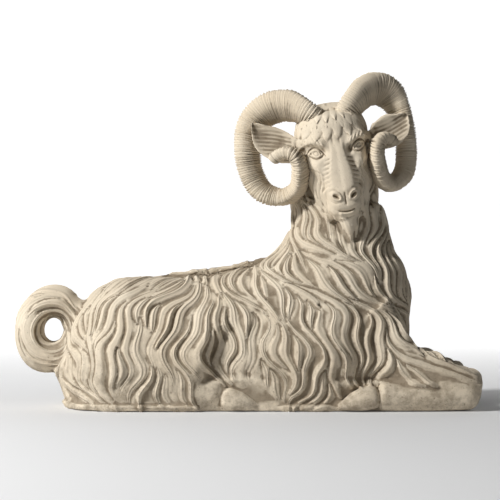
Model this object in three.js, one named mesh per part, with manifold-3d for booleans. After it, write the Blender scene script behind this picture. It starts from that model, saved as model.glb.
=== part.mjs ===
// A recumbent ram in cast stone, as one solid casting: body, neck, head, curled horns, ears,
// folded legs, ringed tail and the low ground that they lie on.
// Millimetres. X runs from the tail to the knees, Y away from the side that the face looks to,
// Z up. The origin is the middle of the flat underside.
import * as THREE from "three";
import { mergeVertices } from "three/addons/utils/BufferGeometryUtils.js";
import Module from "manifold-3d";

const wasm = await Module();
wasm.setup();

// Driving dimensions
const BODY_LENGTH = 645;
const BODY_WIDTH = 272;
const BACK_HEIGHT = 233;
const BREAST_X = 272;
const NECK_WIDTH = 166;
const NECK_HEIGHT = 470;
const HEAD_LENGTH = 208;
const HEAD_WIDTH = 130;
const HEAD_YAW = 3;
const HEAD_ROLL = 9;
const HORN_THICKNESS = 33;
const HORN_BREADTH = 47;
const HORN_LOOP = 176;
const EAR_LENGTH = 84;
const TAIL_RING_RADIUS = 46;
const TAIL_THICKNESS = 53;
const KNEE_REACH = 113;
const LEG_THICKNESS = 54;
const GROUND_THICKNESS = 13;
const GROUND_INSET = 22;
const LOCK_WIDTH = 26;
const LOCK_DEPTH = 10;

const UP = new THREE.Vector3(0, 0, 1);
const FRONT = new THREE.Vector3(0, -1, 0);
const RUMP_X = BREAST_X - BODY_LENGTH;
const HALF_WIDTH = BODY_WIDTH / 2;
const NECK_X = BREAST_X - 0.8 * NECK_WIDTH;

// A step from 0 to 1 with level ends.
const smooth = (low, high, x) => THREE.MathUtils.smoothstep(x, low, high);
// A bell of height 1 and half-width reach.
const bell = (x, reach) => Math.exp(-((x / reach) ** 2));
// A power that keeps its sign, for boxy rounds.
const boxy = (x, power) => Math.sign(x) * Math.abs(x) ** power;
// An even spread of values between 0 and 1, one for each whole number.
const scatter = (n) => {
  const x = Math.sin(n * 12.9898 + 4.1414) * 43758.5453;
  return x - Math.floor(x);
};

// The values of a table of rows [key, value, ...] at a key, on a smooth curve through the rows.
function through(table, key) {
  const last = table.length - 1;
  const k = THREE.MathUtils.clamp(key, table[0][0], table[last][0]);
  let i = 0;
  while (i < last - 1 && k > table[i + 1][0]) i++;
  const a = table[i];
  const b = table[i + 1];
  const before = table[Math.max(i - 1, 0)];
  const after = table[Math.min(i + 2, last)];
  const span = b[0] - a[0];
  const t = (k - a[0]) / span;
  return a.slice(1).map((value, j) => {
    const startSlope = ((b[j + 1] - before[j + 1]) / (b[0] - before[0])) * span;
    const endSlope = ((after[j + 1] - a[j + 1]) / (after[0] - a[0])) * span;
    return (
      (2 * t ** 3 - 3 * t ** 2 + 1) * value +
      (t ** 3 - 2 * t ** 2 + t) * startSlope +
      (3 * t ** 2 - 2 * t ** 3) * b[j + 1] +
      (t ** 3 - t ** 2) * endSlope
    );
  });
}

// A solid between rings of points, closed by a fan at each end.
function solidOf(rings) {
  const corners = [];
  const count = rings[0].length;
  const middle = (ring) =>
    ring.reduce((sum, p) => sum.add(p), new THREE.Vector3()).divideScalar(count);
  const face = (...points) => points.forEach((p) => corners.push(p.x, p.y, p.z));
  for (let i = 0; i < rings.length - 1; i++) {
    for (let j = 0; j < count; j++) {
      const next = (j + 1) % count;
      face(rings[i][j], rings[i][next], rings[i + 1][next]);
      face(rings[i][j], rings[i + 1][next], rings[i + 1][j]);
    }
  }
  const start = middle(rings[0]);
  const end = middle(rings[rings.length - 1]);
  for (let j = 0; j < count; j++) {
    const next = (j + 1) % count;
    face(start, rings[0][next], rings[0][j]);
    face(end, rings[rings.length - 1][j], rings[rings.length - 1][next]);
  }
  const geometry = new THREE.BufferGeometry();
  geometry.setAttribute("position", new THREE.Float32BufferAttribute(corners, 3));
  return manifoldOf(geometry);
}

// The solid of a closed geometry, with its faces turned outwards.
function manifoldOf(geometry) {
  geometry.deleteAttribute("normal");
  geometry.deleteAttribute("uv");
  const merged = mergeVertices(geometry, 1e-3);
  const index = merged.index.array;
  const faces = [];
  for (let i = 0; i < index.length; i += 3) {
    const [a, b, c] = index.slice(i, i + 3);
    if (a !== b && b !== c && c !== a) faces.push([a, b, c]);
  }
  const build = (list) =>
    new wasm.Manifold(
      new wasm.Mesh({
        numProp: 3,
        vertProperties: merged.attributes.position.array,
        triVerts: new Uint32Array(list.flat()),
      }),
    );
  const made = build(faces);
  return made.volume() > 0 ? made : build(faces.map(([a, b, c]) => [a, c, b]));
}

// A profile carried along a smooth path. section(t, angle, ring) gives the offsets of a point of
// the profile: across, at right angles to the path and to facing, and ahead, towards facing.
function sweep({ path, facing, rings, sides, section }) {
  const curve = new THREE.CatmullRomCurve3(path, false, "catmullrom", 0.5);
  const made = [];
  for (let i = 0; i <= rings; i++) {
    const t = i / rings;
    const centre = curve.getPoint(t);
    const along = curve.getTangent(t);
    const towards = typeof facing === "function" ? facing(t) : facing;
    const ahead = towards.clone().addScaledVector(along, -along.dot(towards)).normalize();
    const across = new THREE.Vector3().crossVectors(along, ahead);
    const ring = [];
    for (let j = 0; j < sides; j++) {
      const [a, b] = section(t, (j / sides) * 2 * Math.PI, j);
      ring.push(centre.clone().addScaledVector(across, a).addScaledVector(ahead, b));
    }
    made.push(ring);
  }
  return solidOf(made);
}

// An oval profile from rows [t, half-width, half-depth] as shares of unit, with its ends rounded
// over a share of t.
function oval(table, { unit, roundStart = 0, roundEnd = 0, power = 1 }) {
  return (t, angle) => {
    const [width, depth] = through(table, t);
    let round = 1;
    if (t < roundStart) round = Math.sqrt(1 - (1 - t / roundStart) ** 2);
    if (t > 1 - roundEnd) round = Math.sqrt(Math.max(0, 1 - ((t - 1 + roundEnd) / roundEnd) ** 2));
    const size = unit * Math.max(round, 0.08);
    return [
      width * size * boxy(Math.cos(angle), power),
      depth * size * boxy(Math.sin(angle), power),
    ];
  };
}

const mirrored = (solid) => solid.mirror([0, 1, 0]);

// The spine's height over x, level along the back and rising to the withers.
function spineHeight(x) {
  const share = (x - RUMP_X) / BODY_LENGTH;
  return BACK_HEIGHT * (1 + 0.06 * smooth(0.4, 0.54, share) + 0.16 * smooth(0.52, 0.66, share));
}

// How far the flank stands out: the thigh with its steep front edge, the hollow, and the ribs.
function flankSwell(x, z) {
  const rear = (x - RUMP_X) / BODY_LENGTH;
  const up = z / BACK_HEIGHT;
  const thighFront = 0.4 + 0.065 * smooth(0.45, 0.68, up);
  const thigh = 0.1 * (1 - smooth(thighFront - 0.01, thighFront + 0.045, rear)) * bell(up - 0.45, 0.5);
  const ribs = 0.075 * bell(rear - 0.72, 0.2) * bell(up - 0.5, 0.42);
  return BODY_WIDTH * (thigh * smooth(0, 0.16, rear) + ribs);
}

// The body, as locks that fall from the spine to the ground all round. Two columns of points
// make a lock, one on its ridge and one in the groove beside it.
function makeBody() {
  const rearRidge = RUMP_X + 0.2 * BODY_LENGTH;
  const front = BREAST_X - 0.06 * BODY_LENGTH;
  const frontRidge = front - 0.17 * BODY_LENGTH;
  const flankLocks = Math.round((frontRidge - rearRidge) / LOCK_WIDTH);
  const endLocks = 11;
  const flank = (side) => (share) => ({
    x: THREE.MathUtils.lerp(side < 0 ? frontRidge : rearRidge, side < 0 ? rearRidge : frontRidge, share),
    reach: [0, side * HALF_WIDTH],
  });
  const end = (ridge, length, start) => (share) => {
    const angle = start - Math.PI * share;
    const across = HALF_WIDTH * boxy(Math.sin(angle), 0.9);
    return { x: ridge, reach: [length * Math.cos(angle), across] };
  };
  const runs = [
    [flank(-1), 2 * flankLocks],
    [end(rearRidge, rearRidge - RUMP_X, -Math.PI / 2), 2 * endLocks],
    [flank(1), 2 * flankLocks],
    [end(frontRidge, front - frontRidge, Math.PI / 2), endLocks],
  ];
  const columns = runs.flatMap(([place, steps]) =>
    Array.from({ length: steps }, (_, i) => place(i / steps)),
  );
  const rows = 14;
  const rings = [];
  for (let row = 0; row <= rows; row++) {
    const v = row / rows;
    const angle = (v * Math.PI) / 2;
    const flat = 1 - smooth(0.9, 1, v);
    rings.push(columns.map((column, c) => bodyPoint(column, c, v, angle, flat)));
  }
  return solidOf(rings);
}

// A point of the body: v is the share of the way from the spine down to the ground.
function bodyPoint({ x, reach }, c, v, angle, flat) {
  const [dx, dy] = reach;
  const length = Math.hypot(dx, dy);
  const [ox, oy] = [dx / length, dy / length];
  const endOn = Math.abs(ox);
  const out = Math.sin(angle) ** (0.62 + 0.5 * endOn);
  const z = spineHeight(x + dx * 0.5) * Math.cos(angle) ** 0.8;
  const lock = Math.floor(c / 2);
  const groove = c % 2 ? -1 : 0.35 + 0.65 * scatter(lock);
  const relief = v === 0 ? 0 : 0.5 * LOCK_DEPTH * groove * flat;
  const along = (x + dx) / BODY_LENGTH;
  const drift = 2.1 * Math.sin(10.57 * along + 1) + 0.9 * Math.sin(22.2 * along);
  const sway = 0.55 * LOCK_WIDTH * smooth(0, 0.18, v) * flat * Math.sin(v * 14.5 + drift);
  const swell = flankSwell(x + dx * out, z) * Math.sin(angle) ** 2 * Math.abs(oy);
  const tuck = 1 - (0.04 + 0.06 * endOn) * smooth(0.84, 1, v);
  const far = length * out * tuck + relief + swell;
  const shift = sway * Math.sign(oy || 1) * (1 - 0.6 * endOn);
  return new THREE.Vector3(
    x + ox * far + oy * shift,
    oy * far - ox * shift,
    z + relief * (1 - Math.sin(angle)),
  );
}

// The neck and breast, a column of locks that hang and spread towards the breast. A row is the
// share of the height, then the middle's place in X, the half-width, the middle's place in Y and
// the half-depth, all as shares of the neck's half-width.
function makeNeck() {
  const half = NECK_WIDTH / 2;
  const stations = [
    [0.1, -0.02, 1.5, 0, 1.46],
    [0.34, 0.0, 1.54, 0, 1.46],
    [0.42, 0.03, 1.53, 0, 1.42],
    [0.49, 0.02, 1.42, 0, 1.34],
    [0.56, -0.02, 1.3, 0, 1.22],
    [0.62, -0.02, 1.2, 0, 1.1],
    [0.69, -0.01, 1.1, 0, 1.0],
    [0.76, -0.07, 1.0, 0.02, 0.9],
    [0.83, -0.06, 0.92, -0.02, 0.76],
    [0.9, -0.08, 0.88, -0.2, 0.64],
    [0.96, -0.12, 0.85, -0.32, 0.58],
    [1, -0.26, 0.5, -0.4, 0.4],
  ];
  const locks = 20;
  const path = stations.map(
    ([share, x, , y]) => new THREE.Vector3(NECK_X + x * half, y * half, share * NECK_HEIGHT),
  );
  const sizes = stations.map(([, , width, , depth], i) => [i / (stations.length - 1), width, depth]);
  return sweep({
    path,
    facing: FRONT,
    rings: 12,
    sides: 2 * locks,
    section: (t, angle, j) => {
      const [width, depth] = through(sizes, t);
      const lock = Math.floor(j / 2);
      const relief = 0.42 * LOCK_DEPTH * (j % 2 ? -1 : 0.3 + 0.7 * scatter(lock + 20));
      const spread = 0.45 * (1 - t) * Math.cos(angle);
      const turn = 0.1 * Math.sin(10 * t + 2 * Math.sin(0.7 * lock)) + spread;
      return [
        (half * width + relief) * boxy(Math.cos(angle + turn), 0.92),
        (half * depth + relief) * boxy(Math.sin(angle + turn), 0.92),
      ];
    },
  });
}

// The head's own axes: right across the face, face ahead of it, crown up.
const yaw = THREE.MathUtils.degToRad(HEAD_YAW);
const roll = THREE.MathUtils.degToRad(HEAD_ROLL);
const level = new THREE.Vector3(Math.cos(yaw), Math.sin(yaw), 0);
const FACE = new THREE.Vector3(Math.sin(yaw), -Math.cos(yaw), 0);
const ACROSS = level.clone().multiplyScalar(Math.cos(roll)).addScaledVector(UP, Math.sin(roll));
const CROWN = UP.clone().multiplyScalar(Math.cos(roll)).addScaledVector(level, -Math.sin(roll));
const HEAD_AT = new THREE.Vector3(NECK_X - 0.108 * NECK_WIDTH, -0.42 * NECK_WIDTH, 1.08 * NECK_HEIGHT);

// A point by its distances across, ahead and up from the middle of the skull.
function onHead(right, ahead, up) {
  return HEAD_AT.clone()
    .addScaledVector(ACROSS, right)
    .addScaledVector(FACE, ahead)
    .addScaledVector(CROWN, up);
}

// How far the face stands out, by its place across and up: brows, sockets, eyeballs, cheekbones,
// nostrils and mouth. All are shares of the head's length.
function faceRelief(right, up) {
  const side = Math.abs(right);
  const brow = 0.038 * bell(side - 0.212, 0.077) * bell(up + 0.14, 0.038);
  const socket = -0.043 * bell(side - 0.197, 0.062) * bell(up + 0.226, 0.043);
  const eye = 0.034 * bell(side - 0.202, 0.038) * bell(up + 0.226, 0.034);
  const cheekbone = 0.014 * bell(side - 0.221, 0.058) * bell(up + 0.346, 0.058);
  const hollow = -0.019 * bell(side - 0.144, 0.048) * bell(up + 0.442, 0.106);
  const wing = 0.014 * bell(side - 0.082, 0.038) * bell(up + 0.611, 0.048);
  const nostril = -0.029 * bell(side - 0.072, 0.024) * bell(up + 0.63, 0.029);
  const mouth = -0.024 * bell(up + 0.76, 0.019) * bell(side, 0.096);
  return brow + socket + eye + cheekbone + hollow + wing + nostril + mouth;
}

// The skull and muzzle, from the poll down to the chin. A row is the height above the middle of
// the skull, the half-width, and the reach ahead and back, as shares of the head's length.
function makeHead() {
  const stations = [
    [0.17, 0.08, -0.02, -0.14],
    [0.145, 0.15, 0.04, -0.22],
    [0.09, 0.215, 0.105, -0.3],
    [0, 0.256, 0.145, -0.34],
    [-0.1, 0.265, 0.155, -0.34],
    [-0.18, 0.272, 0.165, -0.32],
    [-0.26, 0.255, 0.175, -0.3],
    [-0.36, 0.22, 0.19, -0.26],
    [-0.48, 0.165, 0.21, -0.18],
    [-0.58, 0.13, 0.225, -0.1],
    [-0.66, 0.12, 0.23, -0.05],
    [-0.72, 0.115, 0.212, -0.02],
    [-0.77, 0.09, 0.178, 0.0],
    [-0.805, 0.05, 0.12, 0.03],
  ];
  const scale = HEAD_LENGTH;
  const wide = HEAD_WIDTH / 2 / 0.272 / HEAD_LENGTH;
  const rows = stations.map((row, i) => [i / (stations.length - 1), ...row]);
  return sweep({
    path: stations.map(([up, , ahead, back]) => onHead(0, ((ahead + back) / 2) * scale, up * scale)),
    facing: FACE,
    rings: 24,
    sides: 20,
    section: (t, angle) => {
      const [up, width, ahead, back] = through(rows, t);
      const c = Math.cos(angle);
      const s = Math.sin(angle);
      const front = s > 0 ? 1 : 0;
      const right = width * wide * scale * (1 + 0.28 * Math.max(-s, 0)) * boxy(c, front ? 1.05 : 0.8);
      const far = ((ahead - back) / 2) * boxy(s, front ? 0.95 : 0.9);
      const relief = front * Math.sqrt(Math.max(s, 0)) * faceRelief(right / scale, up);
      return [right, (far + relief) * scale];
    },
  });
}

// A horn: a ringed band that rises from the poll, sweeps back and out, comes forward under the
// ear and ends in a small curl beside the cheek. Side is -1 or 1; wide and tall stretch its loop,
// shift moves its rising part out, tuck moves its curl in, and splay is how far the band faces
// away from the middle, in degrees.
function makeHorn({ side, wide, tall, shift, tuck, splay }) {
  const turns = [
    [0.06, -0.06, -0.06],
    [0.21, -0.01, 0.13],
    [0.38, -0.1, 0.26],
    [0.6, -0.19, 0.26],
    [0.78, -0.24, 0.11],
    [0.855, -0.22, -0.14],
    [0.845, -0.22, -0.38],
    [0.76, -0.19, -0.57],
    [0.59, -0.13, -0.65],
    [0.46, -0.04, -0.58],
    [0.42, 0.07, -0.4],
    [0.45, 0.12, -0.27],
    [0.53, 0.1, -0.22],
    [0.62, 0.06, -0.24],
    [0.67, 0.03, -0.28],
  ];
  const sizes = [
    [0, 0.75, 0.8],
    [0.12, 1, 1.22],
    [0.34, 1, 1.16],
    [0.46, 1, 1],
    [0.58, 0.88, 0.86],
    [0.75, 0.74, 0.66],
    [0.92, 0.6, 0.5],
    [1, 0.5, 0.42],
  ];
  const ringRows = 52;
  const outFrom = 0.42;
  const turn = THREE.MathUtils.degToRad(splay);
  const outward = FACE.clone()
    .multiplyScalar(Math.cos(turn))
    .addScaledVector(ACROSS, side * Math.sin(turn));
  return sweep({
    path: turns.map(([r, f, u], i) => {
      const stretched = r + (wide - 1) * Math.max(r - outFrom, 0);
      const out = stretched + shift * bell(i - 2.5, 2) - tuck * smooth(7, 9, i);
      return onHead(side * out * HORN_LOOP, f * HORN_LOOP, ((u + 0.17) * tall - 0.17) * HORN_LOOP);
    }),
    facing: (t) => outward.clone().addScaledVector(CROWN, 1.4 * (1 - smooth(0.2, 0.48, t))),
    rings: ringRows,
    sides: 8,
    section: (t, angle) => {
      const [width, depth] = through(sizes, t);
      const ring = Math.round(t * ringRows) % 2 ? 0 : 0.067 * HORN_THICKNESS * (1 - 0.4 * t);
      return [
        ((HORN_THICKNESS / 2) * width + ring) * boxy(Math.cos(angle), 0.64),
        ((HORN_BREADTH / 2) * depth + ring) * boxy(Math.sin(angle), 0.64),
      ];
    },
  });
}

// An ear: a leaf that is hollow in front, its tip lifted by a share of its length.
function makeEar(side, lift) {
  const leaf = [
    [0, 0.13, 0.1],
    [0.2, 0.2, 0.085],
    [0.55, 0.34, 0.07],
    [0.76, 0.31, 0.06],
    [0.92, 0.14, 0.05],
    [1, 0.02, 0.03],
  ];
  const spine = [
    [0.44, -0.06, -0.46],
    [0.75, -0.06, -0.48],
    [1.1, -0.12, -0.38 + 0.2 * lift],
    [1.42, -0.12, -0.22 + 0.5 * lift],
    [1.66, -0.08, lift],
  ];
  return sweep({
    path: spine.map(([r, f, u]) => onHead(side * r * EAR_LENGTH, f * EAR_LENGTH, u * EAR_LENGTH)),
    facing: FACE,
    rings: 8,
    sides: 10,
    section: (t, angle) => {
      const [width, depth] = through(leaf, t);
      const c = Math.cos(angle);
      const cup = 0.12 * (c * c - 0.5) * Math.min(1, 4 * t);
      return [EAR_LENGTH * width * c, EAR_LENGTH * (depth * Math.sin(angle) + cup)];
    },
  });
}

// The wool of the jaw and throat, which the muzzle stands out of.
function makeThroat() {
  const path = [
    [0, -0.08, -0.2],
    [0, -0.05, -0.42],
    [0, -0.04, -0.64],
    [0, -0.08, -0.9],
    [0, -0.12, -1.1],
  ];
  const sizes = [[0, 0.27, 0.17], [0.25, 0.275, 0.16], [0.5, 0.24, 0.13], [0.8, 0.2, 0.12], [1, 0.12, 0.08]];
  const profile = oval(sizes, { unit: HEAD_LENGTH, roundStart: 0.15 });
  return sweep({
    path: path.map(([r, f, u]) => onHead(r * HEAD_LENGTH, f * HEAD_LENGTH, u * HEAD_LENGTH)),
    facing: FACE,
    rings: 8,
    sides: 16,
    section: (t, angle, j) => profile(t, angle).map((v) => v * (j % 2 ? 0.93 : 1.03)),
  });
}

// The beard under the chin, pointed, in a few tufts.
function makeBeard() {
  const path = [
    [0, 0.06, -0.7],
    [0.01, 0.07, -0.82],
    [0.02, 0.05, -0.91],
    [0.03, 0.02, -1.02],
  ];
  const taper = [[0, 0.1, 0.1], [0.4, 0.095, 0.09], [0.75, 0.065, 0.06], [1, 0.015, 0.02]];
  const tufts = oval(taper, { unit: HEAD_LENGTH });
  return sweep({
    path: path.map(([r, f, u]) => onHead(r * HEAD_LENGTH, f * HEAD_LENGTH, u * HEAD_LENGTH)),
    facing: FACE,
    rings: 6,
    sides: 12,
    section: (t, angle, j) => {
      const groove = j % 2 ? 0.86 : 1.06;
      return tufts(t, angle).map((v) => v * groove);
    },
  });
}

// The tail, curled into a ring at the rump, its hair running round with the curl.
function makeTail() {
  const centre = new THREE.Vector3(
    RUMP_X - 0.19 * TAIL_RING_RADIUS,
    -0.19 * TAIL_THICKNESS,
    0.592 * BACK_HEIGHT,
  );
  const path = [];
  const turns = 11;
  for (let i = 0; i <= turns; i++) {
    const angle = THREE.MathUtils.degToRad(10 + (335 * i) / turns);
    path.push(
      centre.clone().add(
        new THREE.Vector3(
          TAIL_RING_RADIUS * Math.cos(angle),
          0.12 * TAIL_RING_RADIUS * Math.cos(angle - 0.6),
          1.1 * TAIL_RING_RADIUS * Math.sin(angle),
        ),
      ),
    );
  }
  const half = TAIL_THICKNESS / 2;
  return sweep({
    path,
    facing: FRONT,
    rings: 20,
    sides: 12,
    section: (t, angle, j) => {
      const groove = j % 2 ? -0.07 : 0.05;
      const size = half * (1 + groove);
      return [size * Math.cos(angle), size * 1.12 * Math.sin(angle)];
    },
  });
}

// A folded foreleg: upper arm down to the knee, shank back along the ground, and cloven hoof.
function makeForeleg() {
  const knee = BREAST_X + KNEE_REACH;
  const leg = LEG_THICKNESS;
  const half = leg / 2;
  const y = -0.4 * BODY_WIDTH;
  const armSizes = [[0, 2.5, 1.25], [0.3, 1.6, 1.25], [0.6, 1.15, 1.15], [1, 1.1, 1.05]];
  const armProfile = oval(armSizes, { unit: half, roundEnd: 0.2, power: 0.85 });
  const arm = sweep({
    path: [
      new THREE.Vector3(knee - 3.9 * leg, y + 0.37 * leg, 0.64 * BACK_HEIGHT),
      new THREE.Vector3(knee - 2.8 * leg, y + 0.11 * leg, 0.36 * BACK_HEIGHT),
      new THREE.Vector3(knee - 1.5 * leg, y - 0.04 * leg, 1.15 * leg),
      new THREE.Vector3(knee - 0.6 * leg, y - 0.07 * leg, 0.88 * leg),
      new THREE.Vector3(knee, y - 0.07 * leg, 0.66 * leg),
    ],
    facing: FRONT,
    rings: 9,
    sides: 12,
    section: (t, angle, j) => armProfile(t, angle).map((v) => v * (j % 2 ? 0.95 : 1.04)),
  });
  const shankSizes = [[0, 0.9, 0.95], [0.5, 0.9, 0.9], [0.8, 0.86, 0.86], [1, 0.95, 0.95]];
  const shank = sweep({
    path: [
      new THREE.Vector3(knee - 0.1 * leg, y - 0.09 * leg, 0.46 * leg),
      new THREE.Vector3(knee - 1.2 * leg, y - 0.19 * leg, 0.45 * leg),
      new THREE.Vector3(knee - 2.5 * leg, y - 0.3 * leg, 0.44 * leg),
      new THREE.Vector3(knee - 3.45 * leg, y - 0.33 * leg, 0.5 * leg),
    ],
    facing: FRONT,
    rings: 6,
    sides: 10,
    section: oval(shankSizes, { unit: half, roundStart: 0.12, roundEnd: 0.1 }),
  });
  return arm.add(shank).add(makeHoof(knee - 3.35 * leg, y - 0.31 * leg, -1, 1));
}

// A cloven hoof on its side: two pointed toes that end at the ground. Way is the side of X that
// the toes point to.
function makeHoof(x, y, way, size) {
  const reach = 1.35 * LEG_THICKNESS * size;
  const half = (LEG_THICKNESS / 2) * size;
  const sizes = [[0, 0.78, 0.6], [0.45, 0.74, 0.6], [0.8, 0.44, 0.42], [1, 0.16, 0.2]];
  const toe = (side, lift) =>
    sweep({
      path: [
        new THREE.Vector3(x, y - side * 0.32 * half, half * (1.05 + lift)),
        new THREE.Vector3(x + way * 0.5 * reach, y - side * 0.42 * half, half * (0.72 + lift)),
        new THREE.Vector3(x + way * reach, y - side * 0.36 * half, half * 0.3),
      ],
      facing: FRONT,
      rings: 4,
      sides: 8,
      section: oval(sizes, { unit: half, roundStart: 0.2 }),
    });
  return toe(1, 0).add(toe(-1, 0.45));
}

// The hind foot that shows under the thigh: pastern and hoof, pointing forward.
function makeHindFoot() {
  const leg = LEG_THICKNESS;
  const half = leg / 2;
  const y = -0.42 * BODY_WIDTH;
  const thigh = RUMP_X + 0.36 * BODY_LENGTH;
  const sizes = [[0, 1.2, 1.1], [0.5, 0.98, 1], [1, 0.9, 0.95]];
  const pastern = sweep({
    path: [
      new THREE.Vector3(thigh - 0.6 * leg, y + 0.19 * leg, 0.85 * leg),
      new THREE.Vector3(thigh + 0.4 * leg, y - 0.07 * leg, 0.64 * leg),
      new THREE.Vector3(thigh + 1.4 * leg, y - 0.15 * leg, 0.58 * leg),
    ],
    facing: FRONT,
    rings: 5,
    sides: 10,
    section: oval(sizes, { unit: half, roundEnd: 0.25 }),
  });
  return pastern.add(makeHoof(thigh + 1.2 * leg, y - 0.19 * leg, 1, 0.9));
}

// The low ground that is cast with the figure, its top edge rounded over.
function makeGround() {
  const length = BODY_LENGTH + KNEE_REACH - 2.36 * GROUND_INSET;
  const width = BODY_WIDTH - GROUND_INSET;
  const corner = 0.42 * width;
  const outline = new THREE.Shape();
  const [x, y] = [length / 2, width / 2];
  outline.moveTo(-x + corner, -y);
  outline.lineTo(x - corner, -y);
  outline.quadraticCurveTo(x, -y, x, -y + corner);
  outline.lineTo(x, y - corner);
  outline.quadraticCurveTo(x, y, x - corner, y);
  outline.lineTo(-x + corner, y);
  outline.quadraticCurveTo(-x, y, -x, y - corner);
  outline.lineTo(-x, -y + corner);
  outline.quadraticCurveTo(-x, -y, -x + corner, -y);
  const edge = 0.4 * GROUND_THICKNESS;
  const slab = new THREE.ExtrudeGeometry(outline, {
    depth: GROUND_THICKNESS - edge,
    bevelThickness: edge,
    bevelSize: edge,
    bevelSegments: 1,
    curveSegments: 6,
  });
  return manifoldOf(slab.translate(RUMP_X + GROUND_INSET + length / 2, 0, 0));
}

// Everything under the floor, to cut the figure off flat.
function belowFloor() {
  const size = 2 * (BODY_LENGTH + KNEE_REACH);
  return manifoldOf(new THREE.BoxGeometry(size, size, size).translate(0, 0, -size / 2));
}

const nearLimbs = makeForeleg().add(makeHindFoot());
const forms = [
  makeBody(),
  makeNeck(),
  makeHead(),
  makeThroat(),
  makeBeard(),
  makeHorn({ side: -1, wide: 1.04, tall: 1, shift: 0, tuck: 0.024, splay: 38 }),
  makeHorn({ side: 1, wide: 0.77, tall: 1.07, shift: 0.035, tuck: 0.012, splay: 8 }),
  makeEar(-1, 0.3),
  makeEar(1, 0),
  makeTail(),
  nearLimbs,
  mirrored(nearLimbs),
  makeGround(),
];
const casting = forms.reduce((whole, form) => whole.add(form)).subtract(belowFloor());

const result = casting.getMesh();
const geometry = new THREE.BufferGeometry();
geometry.setAttribute("position", new THREE.BufferAttribute(result.vertProperties, 3));
geometry.setIndex(new THREE.BufferAttribute(result.triVerts, 1));
geometry.computeVertexNormals();
const stone = new THREE.MeshStandardMaterial({ color: 0xcfc2a5, roughness: 0.85, metalness: 0 });
const statue = new THREE.Mesh(geometry, stone);
statue.name = "ram_statue";

const figure = new THREE.Group();
figure.add(statue);
export default figure;
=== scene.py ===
import math
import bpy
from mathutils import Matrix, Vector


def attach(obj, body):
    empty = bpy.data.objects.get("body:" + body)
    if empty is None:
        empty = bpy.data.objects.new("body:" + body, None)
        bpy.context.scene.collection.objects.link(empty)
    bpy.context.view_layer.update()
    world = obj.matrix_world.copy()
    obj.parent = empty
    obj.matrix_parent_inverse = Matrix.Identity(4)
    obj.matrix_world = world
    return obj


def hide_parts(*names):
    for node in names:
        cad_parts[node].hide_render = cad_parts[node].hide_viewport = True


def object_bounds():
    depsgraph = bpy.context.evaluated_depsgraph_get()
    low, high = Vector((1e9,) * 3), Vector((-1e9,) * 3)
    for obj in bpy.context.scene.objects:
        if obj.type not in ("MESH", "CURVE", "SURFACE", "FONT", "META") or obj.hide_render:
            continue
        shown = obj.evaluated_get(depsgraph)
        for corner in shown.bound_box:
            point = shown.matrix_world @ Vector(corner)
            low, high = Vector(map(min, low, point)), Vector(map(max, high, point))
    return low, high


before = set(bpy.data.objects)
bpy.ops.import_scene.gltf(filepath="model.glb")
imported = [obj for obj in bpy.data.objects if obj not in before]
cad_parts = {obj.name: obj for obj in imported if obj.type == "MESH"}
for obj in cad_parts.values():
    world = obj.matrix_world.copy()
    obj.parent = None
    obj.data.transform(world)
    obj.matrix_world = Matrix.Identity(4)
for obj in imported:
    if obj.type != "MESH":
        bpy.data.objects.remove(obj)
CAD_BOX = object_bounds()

from types import SimpleNamespace

import bpy
import numpy as np
import openvdb
from bpy.props import FloatProperty, FloatVectorProperty, IntProperty, PointerProperty
from bpy.types import Operator, Panel, PropertyGroup
from mathutils import Vector

bl_info = {
    "name": "Recumbent Ram in Cast Stone",
    "version": (1, 0, 0),
    "blender": (4, 5, 0),
    "location": "3D View > Sidebar > Ram Statue",
    "description": "Builds a long-fleeced ram lying down, cast in pale stone",
    "category": "Add Mesh",
}

UP = np.array([0.0, 0.0, 1.0])
FRONT = np.array([0.0, -1.0, 0.0])

FIGURE_TRIANGLES = 156000
SEEDS = 10000

# The horn on the side of the tail and the one on the side of the knees: how wide and tall the loop
# is, how far its top is shifted out and its curl tucked in, and the turn of its front in degrees
HORN_AT_TAIL = {"side": -1, "wide": 1.04, "tall": 1.0, "shift": 0.0, "tuck": 0.024, "splay": 38}
HORN_AT_KNEES = {"side": 1, "wide": 0.77, "tall": 1.07, "shift": 0.035, "tuck": 0.012, "splay": 8}


def smooth(low, high, x):
    """A step from 0 at low to 1 at high with level ends: t squared times (3 - 2t)."""
    t = np.clip((x - low) / (high - low), 0.0, 1.0)
    return t * t * (3.0 - 2.0 * t)


def bell(x, reach):
    """A bell of height 1: e to the power of minus (x over reach) squared."""
    return np.exp(-((x / reach) ** 2))


def boxy(x, power):
    """A power of x that keeps its sign, which squares off the rounds of a profile."""
    return np.sign(x) * np.abs(x) ** power


def unit(v):
    """Vectors brought to length 1 along the last axis."""
    return v / np.maximum(np.linalg.norm(v, axis=-1, keepdims=True), 1e-9)


def dot(a, b):
    """Products of vectors summed along the last axis."""
    return np.sum(a * b, axis=-1)


def through(table, key):
    """Smooth values of the rows [key, value, ...]: in each span a cubic that meets both rows, with
    the slope at a row taken from its two neighbours. Gives one array per value."""
    table = np.asarray(table, float)
    keys = table[:, 0]
    k = np.clip(key, keys[0], keys[-1])
    i = np.clip(np.searchsorted(keys, k, side="right") - 1, 0, len(keys) - 2)
    before = np.maximum(i - 1, 0)
    after = np.minimum(i + 2, len(keys) - 1)
    span = keys[i + 1] - keys[i]
    t = (k - keys[i]) / span
    values = []
    for column in table[:, 1:].T:
        start = (column[i + 1] - column[before]) / (keys[i + 1] - keys[before]) * span
        end = (column[after] - column[i]) / (keys[after] - keys[i]) * span
        values.append(
            (2 * t**3 - 3 * t**2 + 1) * column[i]
            + (t**3 - 2 * t**2 + t) * start
            + (3 * t**2 - 2 * t**3) * column[i + 1]
            + (t**3 - t**2) * end
        )
    return values


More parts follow.
